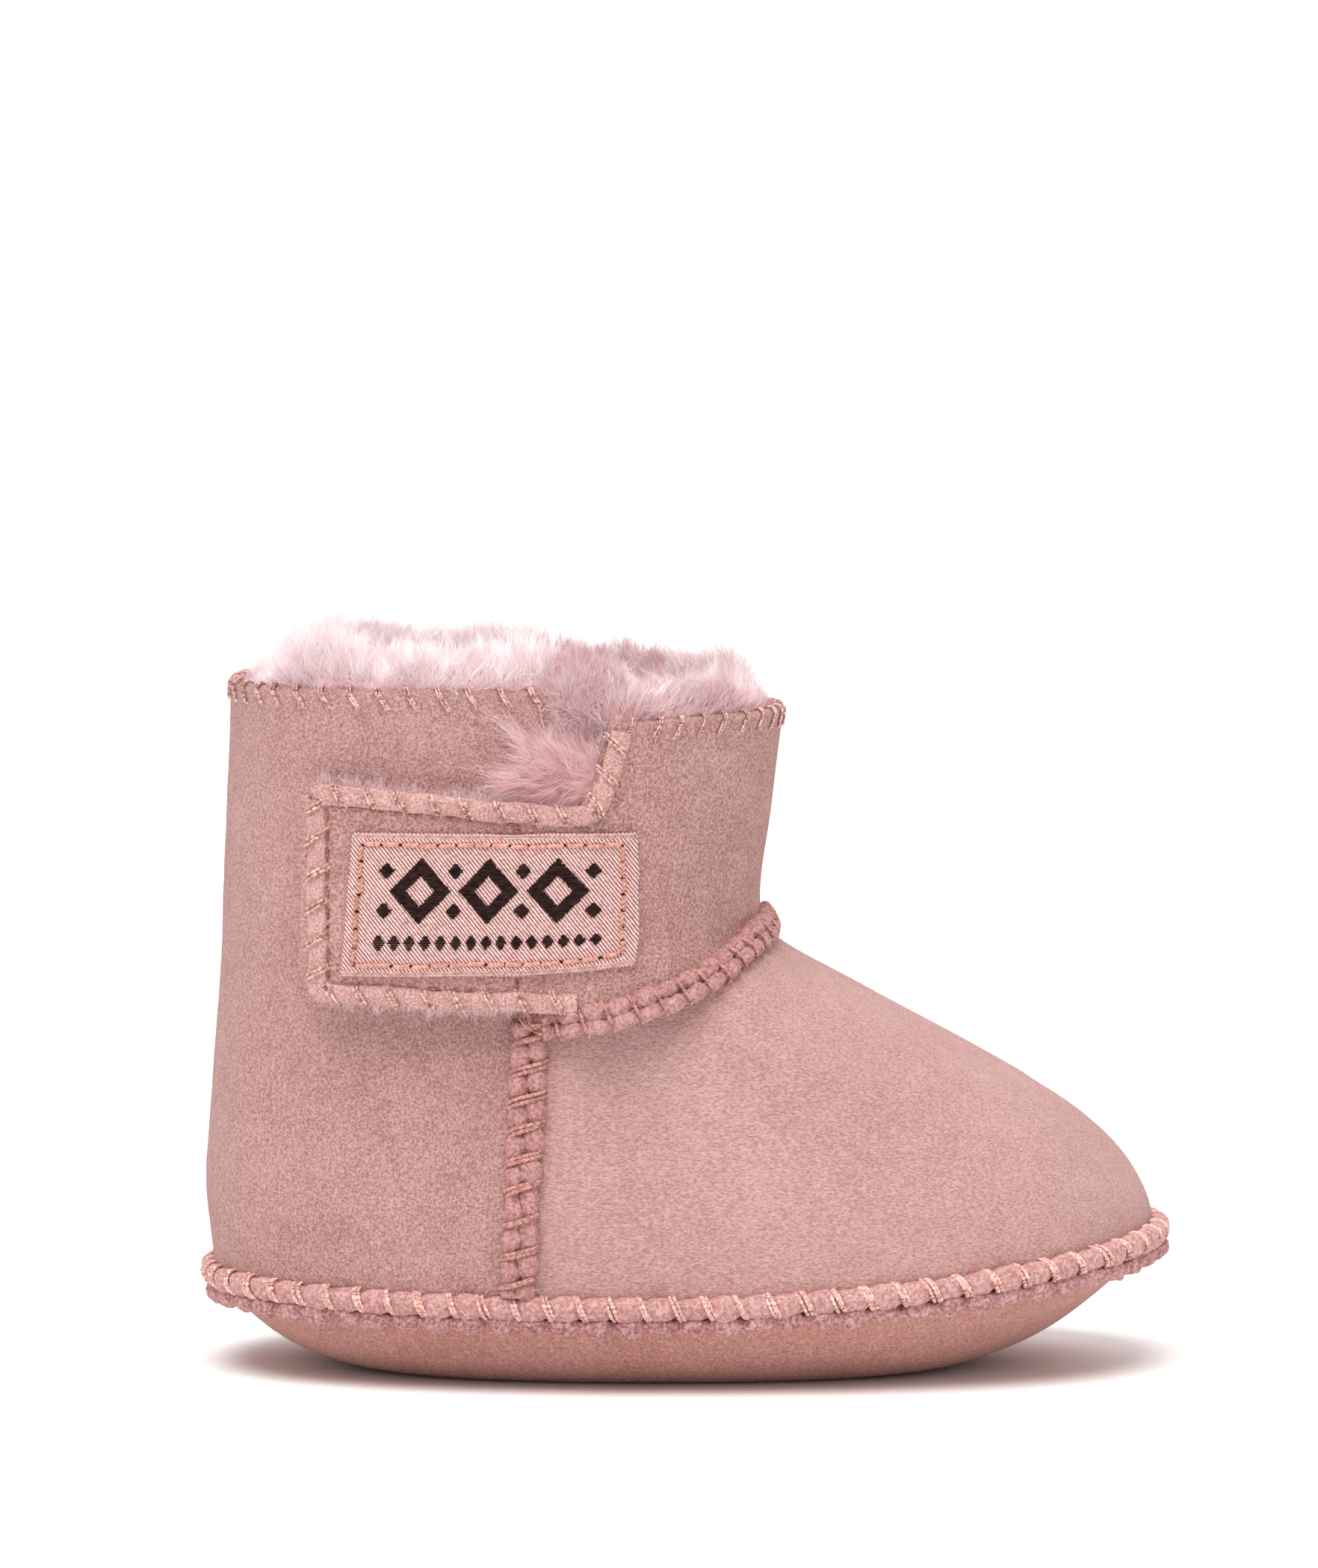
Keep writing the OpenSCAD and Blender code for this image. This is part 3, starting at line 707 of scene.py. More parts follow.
def satin():
    """Woven satin: a steep twill of fine floats, with painted highlights: brighter spots in the colour where
    the light catches them.
    """
    f = Finish("woven_satin", tone(212, 160, 153), rough=0.45, specular=0.4, sheen=0.15)
    twill = f.node("ShaderNodeTexWave", wave_type="BANDS", bands_direction="X")
    twill.inputs["Scale"].default_value = 1.0
    twill.inputs["Distortion"].default_value = 0.6
    twill.inputs["Detail"].default_value = 1.0
    f.link(f.place(1.3, (1, 1, 1), (0, 38, 0)), twill.inputs["Vector"])
    float_bumps_and_painted_glints = f.noise(0.4, 2, 0.5, (1.6, 1, 0.8), (0, 38, 0))
    # painted highlights: the twill bands and the spots lift the colour to a near-white pink as if light
    # caught the floats; the same patterns also drive the real relief in the bump
    f.colour(f.blend((twill.outputs["Fac"], 0.4), (float_bumps_and_painted_glints, 0.6)),
             (0.4, tone(158, 106, 102)), (0.5, tone(206, 155, 150)), (0.6, tone(255, 216, 211)))
    f.bump(f.blend((twill.outputs["Fac"], 0.6), (float_bumps_and_painted_glints, 0.4)), 0.2, 0.8)
    return f.mat


SATIN = satin()
SELVEDGE = thread_finish("label_selvedge", (180, 132, 126), (224, 182, 172))
HOOKS = Finish("hook_plastic", tone(232, 196, 200), rough=0.35, specular=0.5).mat
HOOK_TAPE = fleece("hook_tape", (206, 164, 168), (228, 192, 196), 0.6)
LOOPS = fibre_finish("loop_fibres", (232, 198, 202))


# ---------------------------------------------------------------- camera, light and floor


def studio():
    aim = Vector((-3.34, 0, 77.6)) * MM
    rise, reach = math.radians(4.5), 1046.6 * MM
    data = bpy.data.cameras.new("camera")
    data.sensor_fit, data.sensor_height, data.lens = "VERTICAL", 36, 180
    data.clip_end = 20
    cam = bpy.data.objects.new("camera", data)
    cam.location = aim + reach * Vector((0, -math.cos(rise), math.sin(rise)))
    cam.rotation_euler = (math.pi / 2 - rise, 0, 0)
    bpy.context.scene.collection.objects.link(cam)
    bpy.context.scene.camera = cam

    def sun(name, place, spread, strength, colour=(1, 1, 1)):
        light = bpy.data.lights.new(name, "SUN")
        light.angle, light.energy, light.color = math.radians(spread), strength, colour
        ob = bpy.data.objects.new(name, light)
        ob.rotation_euler = Vector(place).to_track_quat("Z", "Y").to_euler()
        bpy.context.scene.collection.objects.link(ob)

    sun("key", (-0.2, -0.62, 1.35), 42, KEY_STRENGTH, (1, 0.99, 0.975))
    sun("back", (0.35, 0.9, 1.3), 60, BACK_STRENGTH)
    # the white background is brighter than the light it gives
    world = bpy.data.worlds.new("white")
    world.use_nodes = True
    nodes, links = world.node_tree.nodes, world.node_tree.links
    light, seen, mix, path = (nodes["Background"], nodes.new("ShaderNodeBackground"),
                              nodes.new("ShaderNodeMixShader"), nodes.new("ShaderNodeLightPath"))
    light.inputs["Color"].default_value = seen.inputs["Color"].default_value = (1, 1, 1, 1)
    light.inputs["Strength"].default_value = AMBIENT
    seen.inputs["Strength"].default_value = 1.0
    links.new(path.outputs["Is Camera Ray"], mix.inputs["Fac"])
    links.new(light.outputs["Background"], mix.inputs[1])
    links.new(seen.outputs["Background"], mix.inputs[2])
    links.new(mix.outputs["Shader"], nodes["World Output"].inputs["Surface"])
    bpy.context.scene.world = world
    bpy.context.scene.view_settings.view_transform = "Standard"
    bpy.context.scene.view_settings.look = "None"

    floor_mat = Finish("floor_white", (1, 1, 1, 1), rough=1.0, specular=0.0).mat
    c = np.linspace(-4000, 4000, 4)
    grid = np.stack([*np.meshgrid(c, c, indexing="ij"), np.zeros((4, 4))], -1)
    a = (np.arange(3)[:, None] * 4 + np.arange(3)).ravel()
    floor = mesh_object("floor", grid, np.stack([a, a + 4, a + 5, a + 1], -1), smooth=False)
    floor.data.materials.append(floor_mat)


KEY_STRENGTH, BACK_STRENGTH, AMBIENT = 2.55, 1.0, 0.46


# ---------------------------------------------------------------- sole and its seam

def piece(name, parts, mat, body, replaced=()):
    return finish_piece(mesh_object(name, *parts), mat, body, replaced)


def ring_line():
    return Line(lambda s: (-180 + 360 * s, seam_z(-180 + 360 * s)))


def sole_rings(shares, rim, floor):
    u = np.arange(SOLE_N) * 360 / SOLE_N
    edge = skin(u, seam_z(u))
    rings = []
    for s in shares:
        t = max(0, (s - FLAT_SHARE) / 0.52)
        p = edge.copy()
        p[:, :2] *= s * rim
        # fuller below the heel
        turn_up = t**(2.7 - 0.7 * np.cos(np.radians(u)))
        p[:, 2] = np.maximum(0, floor + (edge[:, 2] - SEAM_GAP - floor) * turn_up)
        rings.append(p)
    return rings


INNER_RIM = 1 - 1.1 * SOLE_T / 32
FLAT_SHARE = 0.48  # how far out the sole is flat
ROPES = []


def build_sole():
    outer = sole_rings(np.linspace(0.04, 1, 60), 1, -0.3)
    for ring in outer:
        ring[:, 2] += noise(ring, 11, 2) * 0.25 * np.clip(ring[:, 2] / 2, 0, 1)
        ring[:, :2] *= 1 + (noise(ring, 7, 3) * 0.004 * np.clip(ring[:, 2] / 2, 0, 1))[:, None]
    inner = sole_rings(np.linspace(1, 0.1, 12), INNER_RIM, SOLE_T)
    piece("sole_suede", ring_mesh(outer + inner, 0, SOLE_T), SUEDE_SOLE, "root", ["sole"])


def build_sole_seam():
    line = ring_line()
    places, step = stitch_places(line, WHIP_PITCH)
    upper = rope_edge(line, places, step, 0.75, 1.15, 1.3, 1.62, waist=0.7, ring=True, seed=1, slack=0.12)
    lower = rope_edge(line, places, step, 0.62, -1.2, 1.2, 1.3, waist=0.6, ring=True, seed=2, slack=0.35,
                      rough=0.26)
    piece("sole_seam_upper_edge", upper, RAW_UPPER, "root", ["upper_seam_edge"])
    ROPES.append(piece("sole_seam_lower_edge", lower, RAW_LOWER, "root", ["sole_seam_edge"]))
    path = np.concatenate([wraps(line, places + shift, 1.95, -0.35, 2.6, lean=-0.5)
                           for shift in (-0.34, 0, 0.34)])
    piece("sole_seam_threads", thread_mesh(path, 0.25, 1.0), THREAD, "root", ["sole_whip_stitches"])


# ---------------------------------------------------------------- suede panels

def folds(mid, d):
    """Soft unevenness of a suede panel, with small puckers near its seams."""
    return (0.14 * noise(mid, 15, 1) + 0.07 * noise(mid, 5, 2) + 0.03 * noise(mid, 1.8, 3)
            + 0.14 * noise(mid, 2.2, 4) * np.exp(-d / 2.5) - 0.25 * np.exp(-d / 1.2))


def panel_grid(n, m, place):
    return place(*shares(n + 1, m + 1))


def vamp_place(s, t):
    v = 2 * s - 1
    z = lerp(seam_z(v * 100) + SEAM_GAP, vamp_edge(v) - SEAM_GAP, t)
    return v * turn(seam_x(z), z), z


def back_place(s, t):
    z = lerp(seam_z(lerp(100, 260, s)) + SEAM_GAP, BACK_TOP, t)
    return lerp(turn(far_x(z), z), 360 - turn(free_x(z), z), s), z


def build_vamp():
    u, z = panel_grid(280, 76, vamp_place)
    ob, *_ = skin_sheet("vamp_suede", at(u, z, -HIDE / 2), HIDE, SKIN_ROUND, folds)
    finish_piece(ob, SUEDE_VAMP, "root", ["vamp"])
    return ob


def build_back():
    u, z = panel_grid(250, 130, back_place)
    ob, *_ = skin_sheet("back_suede", at(u, z, -HIDE / 2), HIDE, SKIN_ROUND, folds)
    finish_piece(ob, SUEDE_BACK, "root", ["back_panel"])
    return ob


# The front cuff and the tab are one strip of skin: its lower and its upper outline, from the far seam to the
# tab's free end, as angle and height
CUFF_SHARE, NOTCH_SHARE = 0.62, 0.70


def strip_place(s, t):
    s, t = np.broadcast_arrays(s, t)
    a = np.clip(s / CUFF_SHARE, 0, 1)
    b = np.clip((s - CUFF_SHARE) / (NOTCH_SHARE - CUFF_SHARE), 0, 1)
    c = np.clip((s - NOTCH_SHARE) / (1 - NOTCH_SHARE), 0, 1)
    # lower outline
    v = lerp(1.0, LOW_NOTCH_V, a)
    z_cuff = vamp_edge(v) + SEAM_GAP
    u_cuff = v * turn(seam_x(z_cuff), z_cuff)
    u_cuff = u_cuff + (1 - a)**6 * (turn(far_x(z_cuff), z_cuff) - turn(seam_x(z_cuff), z_cuff))
    x_low = np.where(s < NOTCH_SHARE, lerp(LOW_NOTCH_X, FOLD_X - 1, b), lerp(FOLD_X - 1, TAB_END, c))
    z_notch_low = lerp(vamp_edge(LOW_NOTCH_V) + SEAM_GAP, tab_bottom(FOLD_X - 1), ease(b))
    z_low = np.where(s < NOTCH_SHARE, z_notch_low, tab_bottom(x_low))
    near_u = -turn(x_low, z_low)
    low_u = np.where(s < CUFF_SHARE, u_cuff, near_u)
    low_z = np.where(s < CUFF_SHARE, z_cuff, z_low)
    # upper outline: the cuff's top, the notch, the tab's top edge
    top_far, top_near = turn(far_x(90.6), 90.6), -turn(NOTCH_X, FRONT_TOP)
    u_top = lerp(top_far, top_near, a)
    z_top = cuff_top(u_top)
    bow = np.sin(np.pi * b) * 0.9
    x_notch = lerp(NOTCH_X, FOLD_X - 1, b) + bow * 0.6
    z_notch = lerp(FRONT_TOP, tab_top(FOLD_X - 1), b) - bow * 0.6
    x_high = np.where(s < NOTCH_SHARE, x_notch, lerp(FOLD_X - 1, TAB_END, c))
    z_high = np.where(s < NOTCH_SHARE, z_notch, tab_top(x_high))
    high_u = np.where(s < CUFF_SHARE, u_top, -turn(x_high, z_high))
    high_z = np.where(s < CUFF_SHARE, z_top, z_high)
    return lerp(low_u, high_u, t), lerp(low_z, high_z, t)


LOW_NOTCH_X = -10.5
LOW_NOTCH_V = -float(turn(LOW_NOTCH_X, 49.0)) / float(turn(seam_x(49.0), 49.0))


def build_strip():
    u, z = panel_grid(380, 84, strip_place)
    off = cuff_off(u, z)
    x = skin(u, z)[..., 0]

    def relief(mid, d):
        under_label = (ease((x + 46) / 2) * ease((-3 - x) / 2) * ease((z - 53.5) / 1.5)
                       * ease((75.5 - z) / 1.5) * (u < 0))
        on_tab = ease((FOLD_X - 2 - x) / 3) * (u < 0)
        return folds(mid, d) * (1 - 0.85 * under_label) - 0.5 * on_tab * np.exp(-((d - 2.75) / 0.5)**2)

    ob, *_ = skin_sheet("cuff_and_tab_suede", at(u, z, off - HIDE / 2), HIDE, SKIN_ROUND, relief)
    finish_piece(ob, SUEDE_CUFF, "bend", ["front_cuff", "closure_tab"])
    return ob


def smooth_route(points, rounds=3):
    """Points with their corners cut, as s -> u, z on the closure side."""
    p = np.array(points, float)
    for _ in range(rounds):
        q = np.empty((2 * len(p), 2))
        q[0], q[-1] = p[0], p[-1]
        q[1:-1:2] = 0.75 * p[:-1] + 0.25 * p[1:]
        q[2:-1:2] = 0.25 * p[:-1] + 0.75 * p[1:]
        p = q
    run = np.concatenate([[0], np.cumsum(np.linalg.norm(np.diff(p, axis=0), axis=1))])
    run /= run[-1]

    def place(s):
        x, z = np.interp(s, run, p[:, 0]), np.interp(s, run, p[:, 1])
        return -turn(x, z), z
    return place


def tab_outline(inset, notch=True):
    """The strip's free outline, from the notch round the tab to the fold, moved inwards."""
    end, near, r = TAB_END + inset, FOLD_X - 0.6, 1.6
    high, low = tab_top(end) - inset, tab_bottom(end) + inset
    top = [(NOTCH_X - 0.3 + inset, FRONT_TOP - 1.2),
           (FOLD_X + 1.0 + inset * 0.8, tab_top(FOLD_X) + 1.6 - inset)]
    corners = [(end + r, high), (end, high), (end, high - r), (end, low + r), (end, low), (end + r, low)]
    route = [(near, tab_top(near) - inset)] + corners + [(near, tab_bottom(near) + inset)]
    return smooth_route((top if notch else []) + route, 3)


def build_tab_rim():
    line = Line(tab_outline(1.15), cuff_off)
    places, step = stitch_places(line, 4.4)
    d = np.linspace(0, line.length, int(line.length / ROPE_CELL))
    k = pillow(d, places, step, 0.8)
    centre, out, up = line.point(d, -0.12 - 0.2 * (1 - k))
    centre = centre + up * (0.2 * noise(np.stack([d, 0 * d, 0 * d], -1), 4.0, 3))[:, None]
    rim = swept(centre, out, up, 0.8 * k, 1.35 + 0 * k, power=2.8, rough=0.12, seed=6)
    piece("tab_rim", rim, SUEDE_RIM, "bend")
    whip = wraps_flat(line, places)
    piece("tab_rim_threads", thread_mesh(whip, 0.24, 0.8), THREAD_EDGE, "bend",
          ["tab_edge_stitches"])


def tab_middle(n, lift):
    return side(np.full(n, (TAB_END + FOLD_X) / 2), np.full(n, TAB_LOW + TAB_H / 2), lift)


def wraps_flat(line, places):
    """Pairs of strands that slant over an edge: round the outside, then inwards across the face."""
    t = np.linspace(0, 1, 26)
    d = (places[:, None] + rng.normal(0, 0.25, (len(places), 1))) + 1.9 * (0.3 - t)[None]
    inward = np.broadcast_to(-1.35 + 3.3 * t, d.shape)
    lift = np.broadcast_to(0.85 * np.sqrt(np.clip(1 - ((t - 0.34) / 0.46)**2, 0, 1)) - 0.3 * (t < 0.06)
                           - 0.2 * (t > 0.9), d.shape)
    rows = []
    for shift in (-0.26, 0.26):
        p, _, up = line.point(np.clip(d + shift, 0, line.length).ravel(), lift.ravel())
        u, z = line.place(np.interp(np.clip(d, 0, line.length).ravel(), line.sums, line.s))
        x = skin(u, z)[:, 0]
        # inwards is towards the middle of the tab
        aim = unit(tab_middle(len(x), STAND_OFF) - p)
        sign = np.where(np.sum(up * aim, -1, keepdims=True) < 0, -1, 1)
        rows.append((p + up * sign * inward.ravel()[:, None]).reshape(*d.shape, 3))
    return np.concatenate(rows)


def edge_stitches(name, place, lift, replaced):
    """Slanted pairs of strands over a top edge."""
    line = Line(place, lift)
    places, _ = stitch_places(line, 4.0)
    t = np.linspace(0, 1, 24)
    d = places[:, None] + rng.normal(0, 0.2, (len(places), 1)) + 2.1 * (t - 0.3)[None]
    up = 0.35 * np.sin(np.pi * np.clip(t / 0.3, 0, 1)) - 2.7 * np.clip((t - 0.12) / 0.88, 0, 1)
    up = np.broadcast_to(up, d.shape)
    out = np.broadcast_to(-1.6 + 1.85 * np.clip(t / 0.28, 0, 1)**0.7 - 0.3 * (t > 0.95), d.shape)
    rows = []
    for shift in (-0.2, 0.2):
        p, _, _ = line.point(np.clip(d + shift, 0, line.length).ravel(), out.ravel(), up.ravel())
        rows.append(p.reshape(*d.shape, 3))
    piece(name, thread_mesh(np.concatenate(rows), 0.21, 0.8), THREAD_EDGE, "root", replaced)


def build_edge_stitches():
    edge_stitches("back_edge_threads", lambda s: back_place(s, np.ones_like(s)), 0.0, ["back_edge_stitches"])
    edge_stitches("front_edge_threads",
                  lambda s: strip_place(lerp(0.01, CUFF_SHARE - 0.005, s), np.ones_like(s)),
                  cuff_off, ["front_edge_stitches"])


# ---------------------------------------------------------------- upright and instep seams

def build_side_seam(name, sign, low, high, rope_node, stitch_node, seed):
    def place(s):
        z = lerp(low, high, s)
        return sign * turn(far_x(z), z), z
    line = Line(place)
    places, step = stitch_places(line, 4.1)
    halves = [rope_edge(line, places + 0.5 * across, step, 0.6, across, 1.3, 1.35, waist=0.64, seed=seed + k,
                        slack=0.25, rough=0.24) for k, across in enumerate((-1.0, 1.0))]
    ROPES.append(piece(name + "_edges", join(halves), RAW_SIDE, "root", [rope_node]))
    path = np.concatenate([wraps(line, places + shift, 1.95, -2.25, 2.25, lean=0.6, turn_from=105, wobble=0.2)
                           for shift in (-0.26, 0.22)])
    piece(name + "_threads", thread_mesh(path, 0.32, 1.0), THREAD_SIDE, "root", [stitch_node])


def build_instep_seam():
    near = float(turn(-18.5, INSTEP_SIDE) / turn(seam_x(INSTEP_SIDE), INSTEP_SIDE))

    def place(s):
        v = lerp(0.985, -near, s)
        z = vamp_edge(v) + SEAM_GAP
        return v * turn(seam_x(z), z), z

    def lift(u, z):
        x = skin(u, z)[..., 0]
        return cuff_off(u, z) * (1 - 0.6 * ease((-10 - x) / 8) * (u < 0))
    line = Line(place, lift)
    places, step = stitch_places(line, 3.6)
    upper = rope_edge(line, places, step, 0.85, 0.95, 1.2, 1.15, waist=0.64, seed=11, slack=0.15, rough=0.22)
    lower = rope_edge(line, places, step, 0.75, -0.95, 1.2, 1.15, waist=0.64, seed=12, slack=0.2, rough=0.22)
    ROPES.append(piece("instep_seam_edges", join([upper, lower]), RAW_SIDE, "root", ["instep_seam"]))
    path = wraps(line, places, 1.9, -2.0, 2.0, lean=0.3, turn_from=100, wobble=0.15)
    piece("instep_seam_threads", thread_mesh(path, 0.26, 0.9), THREAD_SIDE, "root",
          ["instep_stitches"])


# ---------------------------------------------------------------- label and sewn patches

LABEL_LIFT = STAND_OFF + 0.5


def label_wave(x, z):
    p = np.stack([x, 0 * x, z], -1)
    return 0.12 * noise(p, 7.0, 5) + 0.05 * noise(p, 2.5, 6)


def label_point(x, z, lift=0.0):
    """Point over the tab's face; the label's free end is cut at a slight slant."""
    x, z = np.broadcast_arrays(np.asarray(x, float), np.asarray(z, float))
    x = x + 1.6 * (z - LABEL_Z) / LABEL_H * (1 - (x - LABEL_X) / LABEL_L)
    return side(x, z, LABEL_LIFT + label_wave(x, z) + lift)


def build_label():
    s, t = shares(191, 93)
    x = LABEL_X + LABEL_L * s + 0.12 * noise(np.stack([4 * s, 0 * s, 12 * t], -1), 1.3, 8)
    z = LABEL_Z + LABEL_H * t + 0.12 * noise(np.stack([30 * s, 0 * s, t], -1), 4.0, 9)

    def hem(mid, d):
        return 0.12 * np.exp(-((d - 1.0) / 0.35)**2) - 0.1 * np.exp(-((d - 1.6) / 0.25)**2)
    ob, *_ = skin_sheet("woven_label_cloth", label_point(x, z), 0.4, 0.4, hem)
    finish_piece(ob, SATIN, "bend", ["woven_label", "woven_label_end"])
    # ribbed selvedges along the top and bottom
    x = np.linspace(LABEL_X + 0.3, LABEL_X + LABEL_L - 0.3, 160)
    rows = [label_point(x, np.full(160, z), 0.16) for z in
            (LABEL_Z + 0.25, LABEL_Z + 0.6, LABEL_Z + LABEL_H - 0.25, LABEL_Z + LABEL_H - 0.6)]
    piece("label_selvedge", tube_mesh(np.stack(rows), 0.17, 6), SELVEDGE, "bend")
    inset = 1.5
    x0, x1 = LABEL_X + inset, LABEL_X + LABEL_L - inset - 0.5
    z0, z1 = LABEL_Z + inset, LABEL_Z + LABEL_H - inset
    corners = ((x0, z0), (x1, z0), (x1, z1), (x0, z1), (x0, z0))
    ends = np.concatenate([dashes(a, b, 2.3, 0.84) for a, b in zip(corners, corners[1:])])
    t = np.linspace(0, 1, 16)
    x = lerp(ends[:, 0, 0, None], ends[:, 1, 0, None], t) + 0.1 * rng.normal(size=(len(ends), 1))
    z = lerp(ends[:, 0, 1, None], ends[:, 1, 1, None], t) + 0.1 * rng.normal(size=(len(ends), 1))
    path = label_point(x, z, 0.14 + 0.24 * np.sin(np.pi * t)[None])
    piece("label_threads", thread_mesh(path, 0.3, 1.0), THREAD_LABEL, "bend",
          ["label_stitches", "label_end_stitches"])
    # painted shade: dark dots where the thread goes down through the label, standing for the shade in its
    # needle holes
    gaps = (np.roll(ends[:, 0], -1, 0) + ends[:, 1]) / 2
    near = np.linalg.norm(np.roll(ends[:, 0], -1, 0) - ends[:, 1], axis=1) < 1
    gaps = gaps[near]
    spot = gaps[:, None] + np.array([[-0.2, 0], [0, 0], [0.2, 0]])[None]
    hole_shade_dots = tube_mesh(label_point(spot[..., 0], spot[..., 1], 0.2), 0.17, 6)
    piece("label_stitch_hole_shade", hole_shade_dots, HOLE_SHADE, "bend")


def diamond(cx, cz, wide, high):
    def spans(z):
        half = wide / 2 * (1 - abs(z - cz) / (high / 2))
        return [(cx - half, cx + half)]
    return spans


def build_motif():
    """A made-up woven pattern: a row of diamonds with pale hearts, over a row of small ones."""
    cx, cz = LABEL_X + LABEL_L / 2 - 0.4, LABEL_Z + LABEL_H / 2
    rows = []

    def fill(low, high, spans):
        for z in np.arange(low, high, 0.24):
            for a, b in spans(z):
                if b - a > 0.25:
                    rows.append(((a + 0.05 * rng.normal(), z), (b + 0.05 * rng.normal(), z)))

    def hollow(cx, cz, wide, high, core):
        def spans(z):
            d = abs(z - cz)
            half = wide / 2 * (1 - d / (high / 2))
            gap = wide * core / 2 * (1 - d / (high * core / 2)) if d < high * core / 2 else 0
            return [(cx - half, cx - gap), (cx + gap, cx + half)] if gap else [(cx - half, cx + half)]
        return spans

    for k in range(-1, 2):
        fill(cz + 1.7 - 4.3, cz + 1.7 + 4.3, hollow(cx + 8.6 * k, cz + 1.7, 7.6, 8.6, 0.46))
    for k in (-1.5, -0.5, 0.5, 1.5):
        for up in (-2.6, 2.6):
            fill(cz + 1.7 + up - 1.1, cz + 1.7 + up + 1.1, diamond(cx + 8.6 * k, cz + 1.7 + up, 2.0, 2.2))
    for k in range(-7, 8):
        fill(cz - 4.9 - 1.0, cz - 4.9 + 1.0, diamond(cx + 1.9 * k, cz - 4.9, 1.5, 2.0))
    rows = np.array(rows)
    t = np.linspace(0, 1, 14)
    x = lerp(rows[:, 0, 0, None], rows[:, 1, 0, None], t)
    z = lerp(rows[:, 0, 1, None], rows[:, 1, 1, None], t)
    path = label_point(x, z, 0.2 + 0.03 * np.sin(np.pi * t)[None])
    piece("label_motif", tube_mesh(path, 0.14, 5), THREAD_MOTIF, "bend")


def build_patches():
    margin, length = 2.4, 24.5
    x0 = TAB_END + margin
    s, t = shares(50, 46)
    x = lerp(x0, x0 + length, s)
    z = lerp(tab_bottom(x) + margin, tab_top(x) - margin, t)
    tape, *_ = skin_sheet("hook_tape", side(x, z, STAND_OFF - HIDE - 0.15 - 0.25), 0.4, 0.2)
    finish_piece(tape, HOOK_TAPE, "tab", ["hook_patch"])
    i, j = np.meshgrid(np.arange(1, 22), np.arange(1, 21), indexing="ij")
    x = (x0 + length * i / 22).ravel()
    z = lerp(tab_bottom(x) + margin, tab_top(x) - margin, (j / 21).ravel())
    k = np.linspace(0, 1, 6)
    bend = 0.28 * np.sin(k * 2.6)
    lift = STAND_OFF - HIDE - 0.55 - np.where(k < 0.75, k * 0.6, 0.45 - (k - 0.75) * 0.5)
    path = side(x[:, None] + bend[None], z[:, None] + 0 * bend[None], np.broadcast_to(lift, (len(x), 6)))
    piece("hook_tape_hooks", tube_mesh(path, 0.09, 4), HOOKS, "tab")
    s, t = shares(50, 46)
    x, z = lerp(TAB_END + 1, TAB_END + 27, s), lerp(TAB_LOW + 2, TAB_LOW + TAB_H + 1, t)
    base, *_ = skin_sheet("loop_tape", side(x, z, 0.45), 0.5, 0.25)
    finish_piece(base, HOOK_TAPE, "root", ["loop_patch"])
    m = 2600
    x = rng.uniform(TAB_END + 1.4, TAB_END + 26.6, m)
    z = rng.uniform(TAB_LOW + 2.4, TAB_LOW + TAB_H + 0.6, m)
    k = np.linspace(0, np.pi, 6)
    spin = rng.random(m) * 2 * np.pi
    r = 0.45
    path = side(x[:, None] + r * np.cos(k) * np.cos(spin)[:, None],
                z[:, None] + r * np.cos(k) * np.sin(spin)[:, None],
                0.62 + 0.42 * np.sin(k) * rng.uniform(0.6, 1, (m, 1)))
    piece("loop_tape_loops", tube_mesh(path, 0.035, 3), LOOPS, "root")
    x0, x1, z0, z1 = TAB_END + 2.2, TAB_END + 25.8, TAB_LOW + 3.2, TAB_LOW + TAB_H - 0.2
    box = [((x0, z0), (x1, z0)), ((x0, z1), (x1, z1)), ((x0, z0), (x0, z1)), ((x1, z0), (x1, z1))]
    ends = np.concatenate([dashes(a, b) for a, b in box])
    piece("loop_tape_threads", thread_mesh(tacks(ends, 0.9), 0.22), THREAD, "root",
          ["loop_patch_stitches"])


def build_box_stitches():
    """The hook tape's stitching, seen on the tab's face just inside its rim."""
    x0, x1, inset = TAB_END + 2.5, TAB_END + 25.8, 2.55
    rows = [((x0, tab_bottom(x0) + inset), (x1, tab_bottom(x1) + inset)),
            ((x0, tab_top(x0) - inset), (x1, tab_top(x1) - inset)),
            ((x0, tab_bottom(x0) + inset), (x0, tab_top(x0) - inset)),
            ((x1, tab_bottom(x1) + inset), (x1, LABEL_Z - 0.4)),
            ((x1, LABEL_Z + LABEL_H + 0.4), (x1, tab_top(x1) - inset))]
    ends = np.concatenate([dashes(a, b, 2.4, 0.8) for a, b in rows])
    threads = thread_mesh(tacks(ends, STAND_OFF - 0.05, 0.12), 0.27, 0.9)
    piece("hook_tape_threads", threads, THREAD_DARK, "tab", ["hook_patch_stitches"])


# ---------------------------------------------------------------- wool

def tufts(name, ob, count, weight, aim, length, width, mat, seed, wave=0.35):
    """Fibres rooted on a mesh, pointing along its normal blended with aim(points, normals)."""
    rand = np.random.default_rng(seed)
    roots, normals = surface_samples(ob, count, weight, rand)
    dirs = unit(aim(roots, normals) + 0.35 * rand.normal(size=roots.shape))
    lock = 0.82 + 0.22 * noise(roots, 4.0, 30) + 0.3 * noise(roots, 9.0, 31)
    reach = 0.45 + 0.55 * collar_share(roots[:, 0])
    long = length * lock * reach * rand.uniform(0.55, 1.15, count)
    wide = width * rand.uniform(0.6, 1.3, count)
    face = unit(normals + np.array([0, -0.15, 0.45]))
    fur(name, ribbons(roots - normals * FIBRE_ROOT, dirs, long, wide, face, wave, 2.4, seed), mat, "root")


def lumps(amount, size, seed):
    return lambda mid, d: amount * noise(mid, size, seed) + amount * 0.5 * noise(mid, size * 0.45, seed + 1)


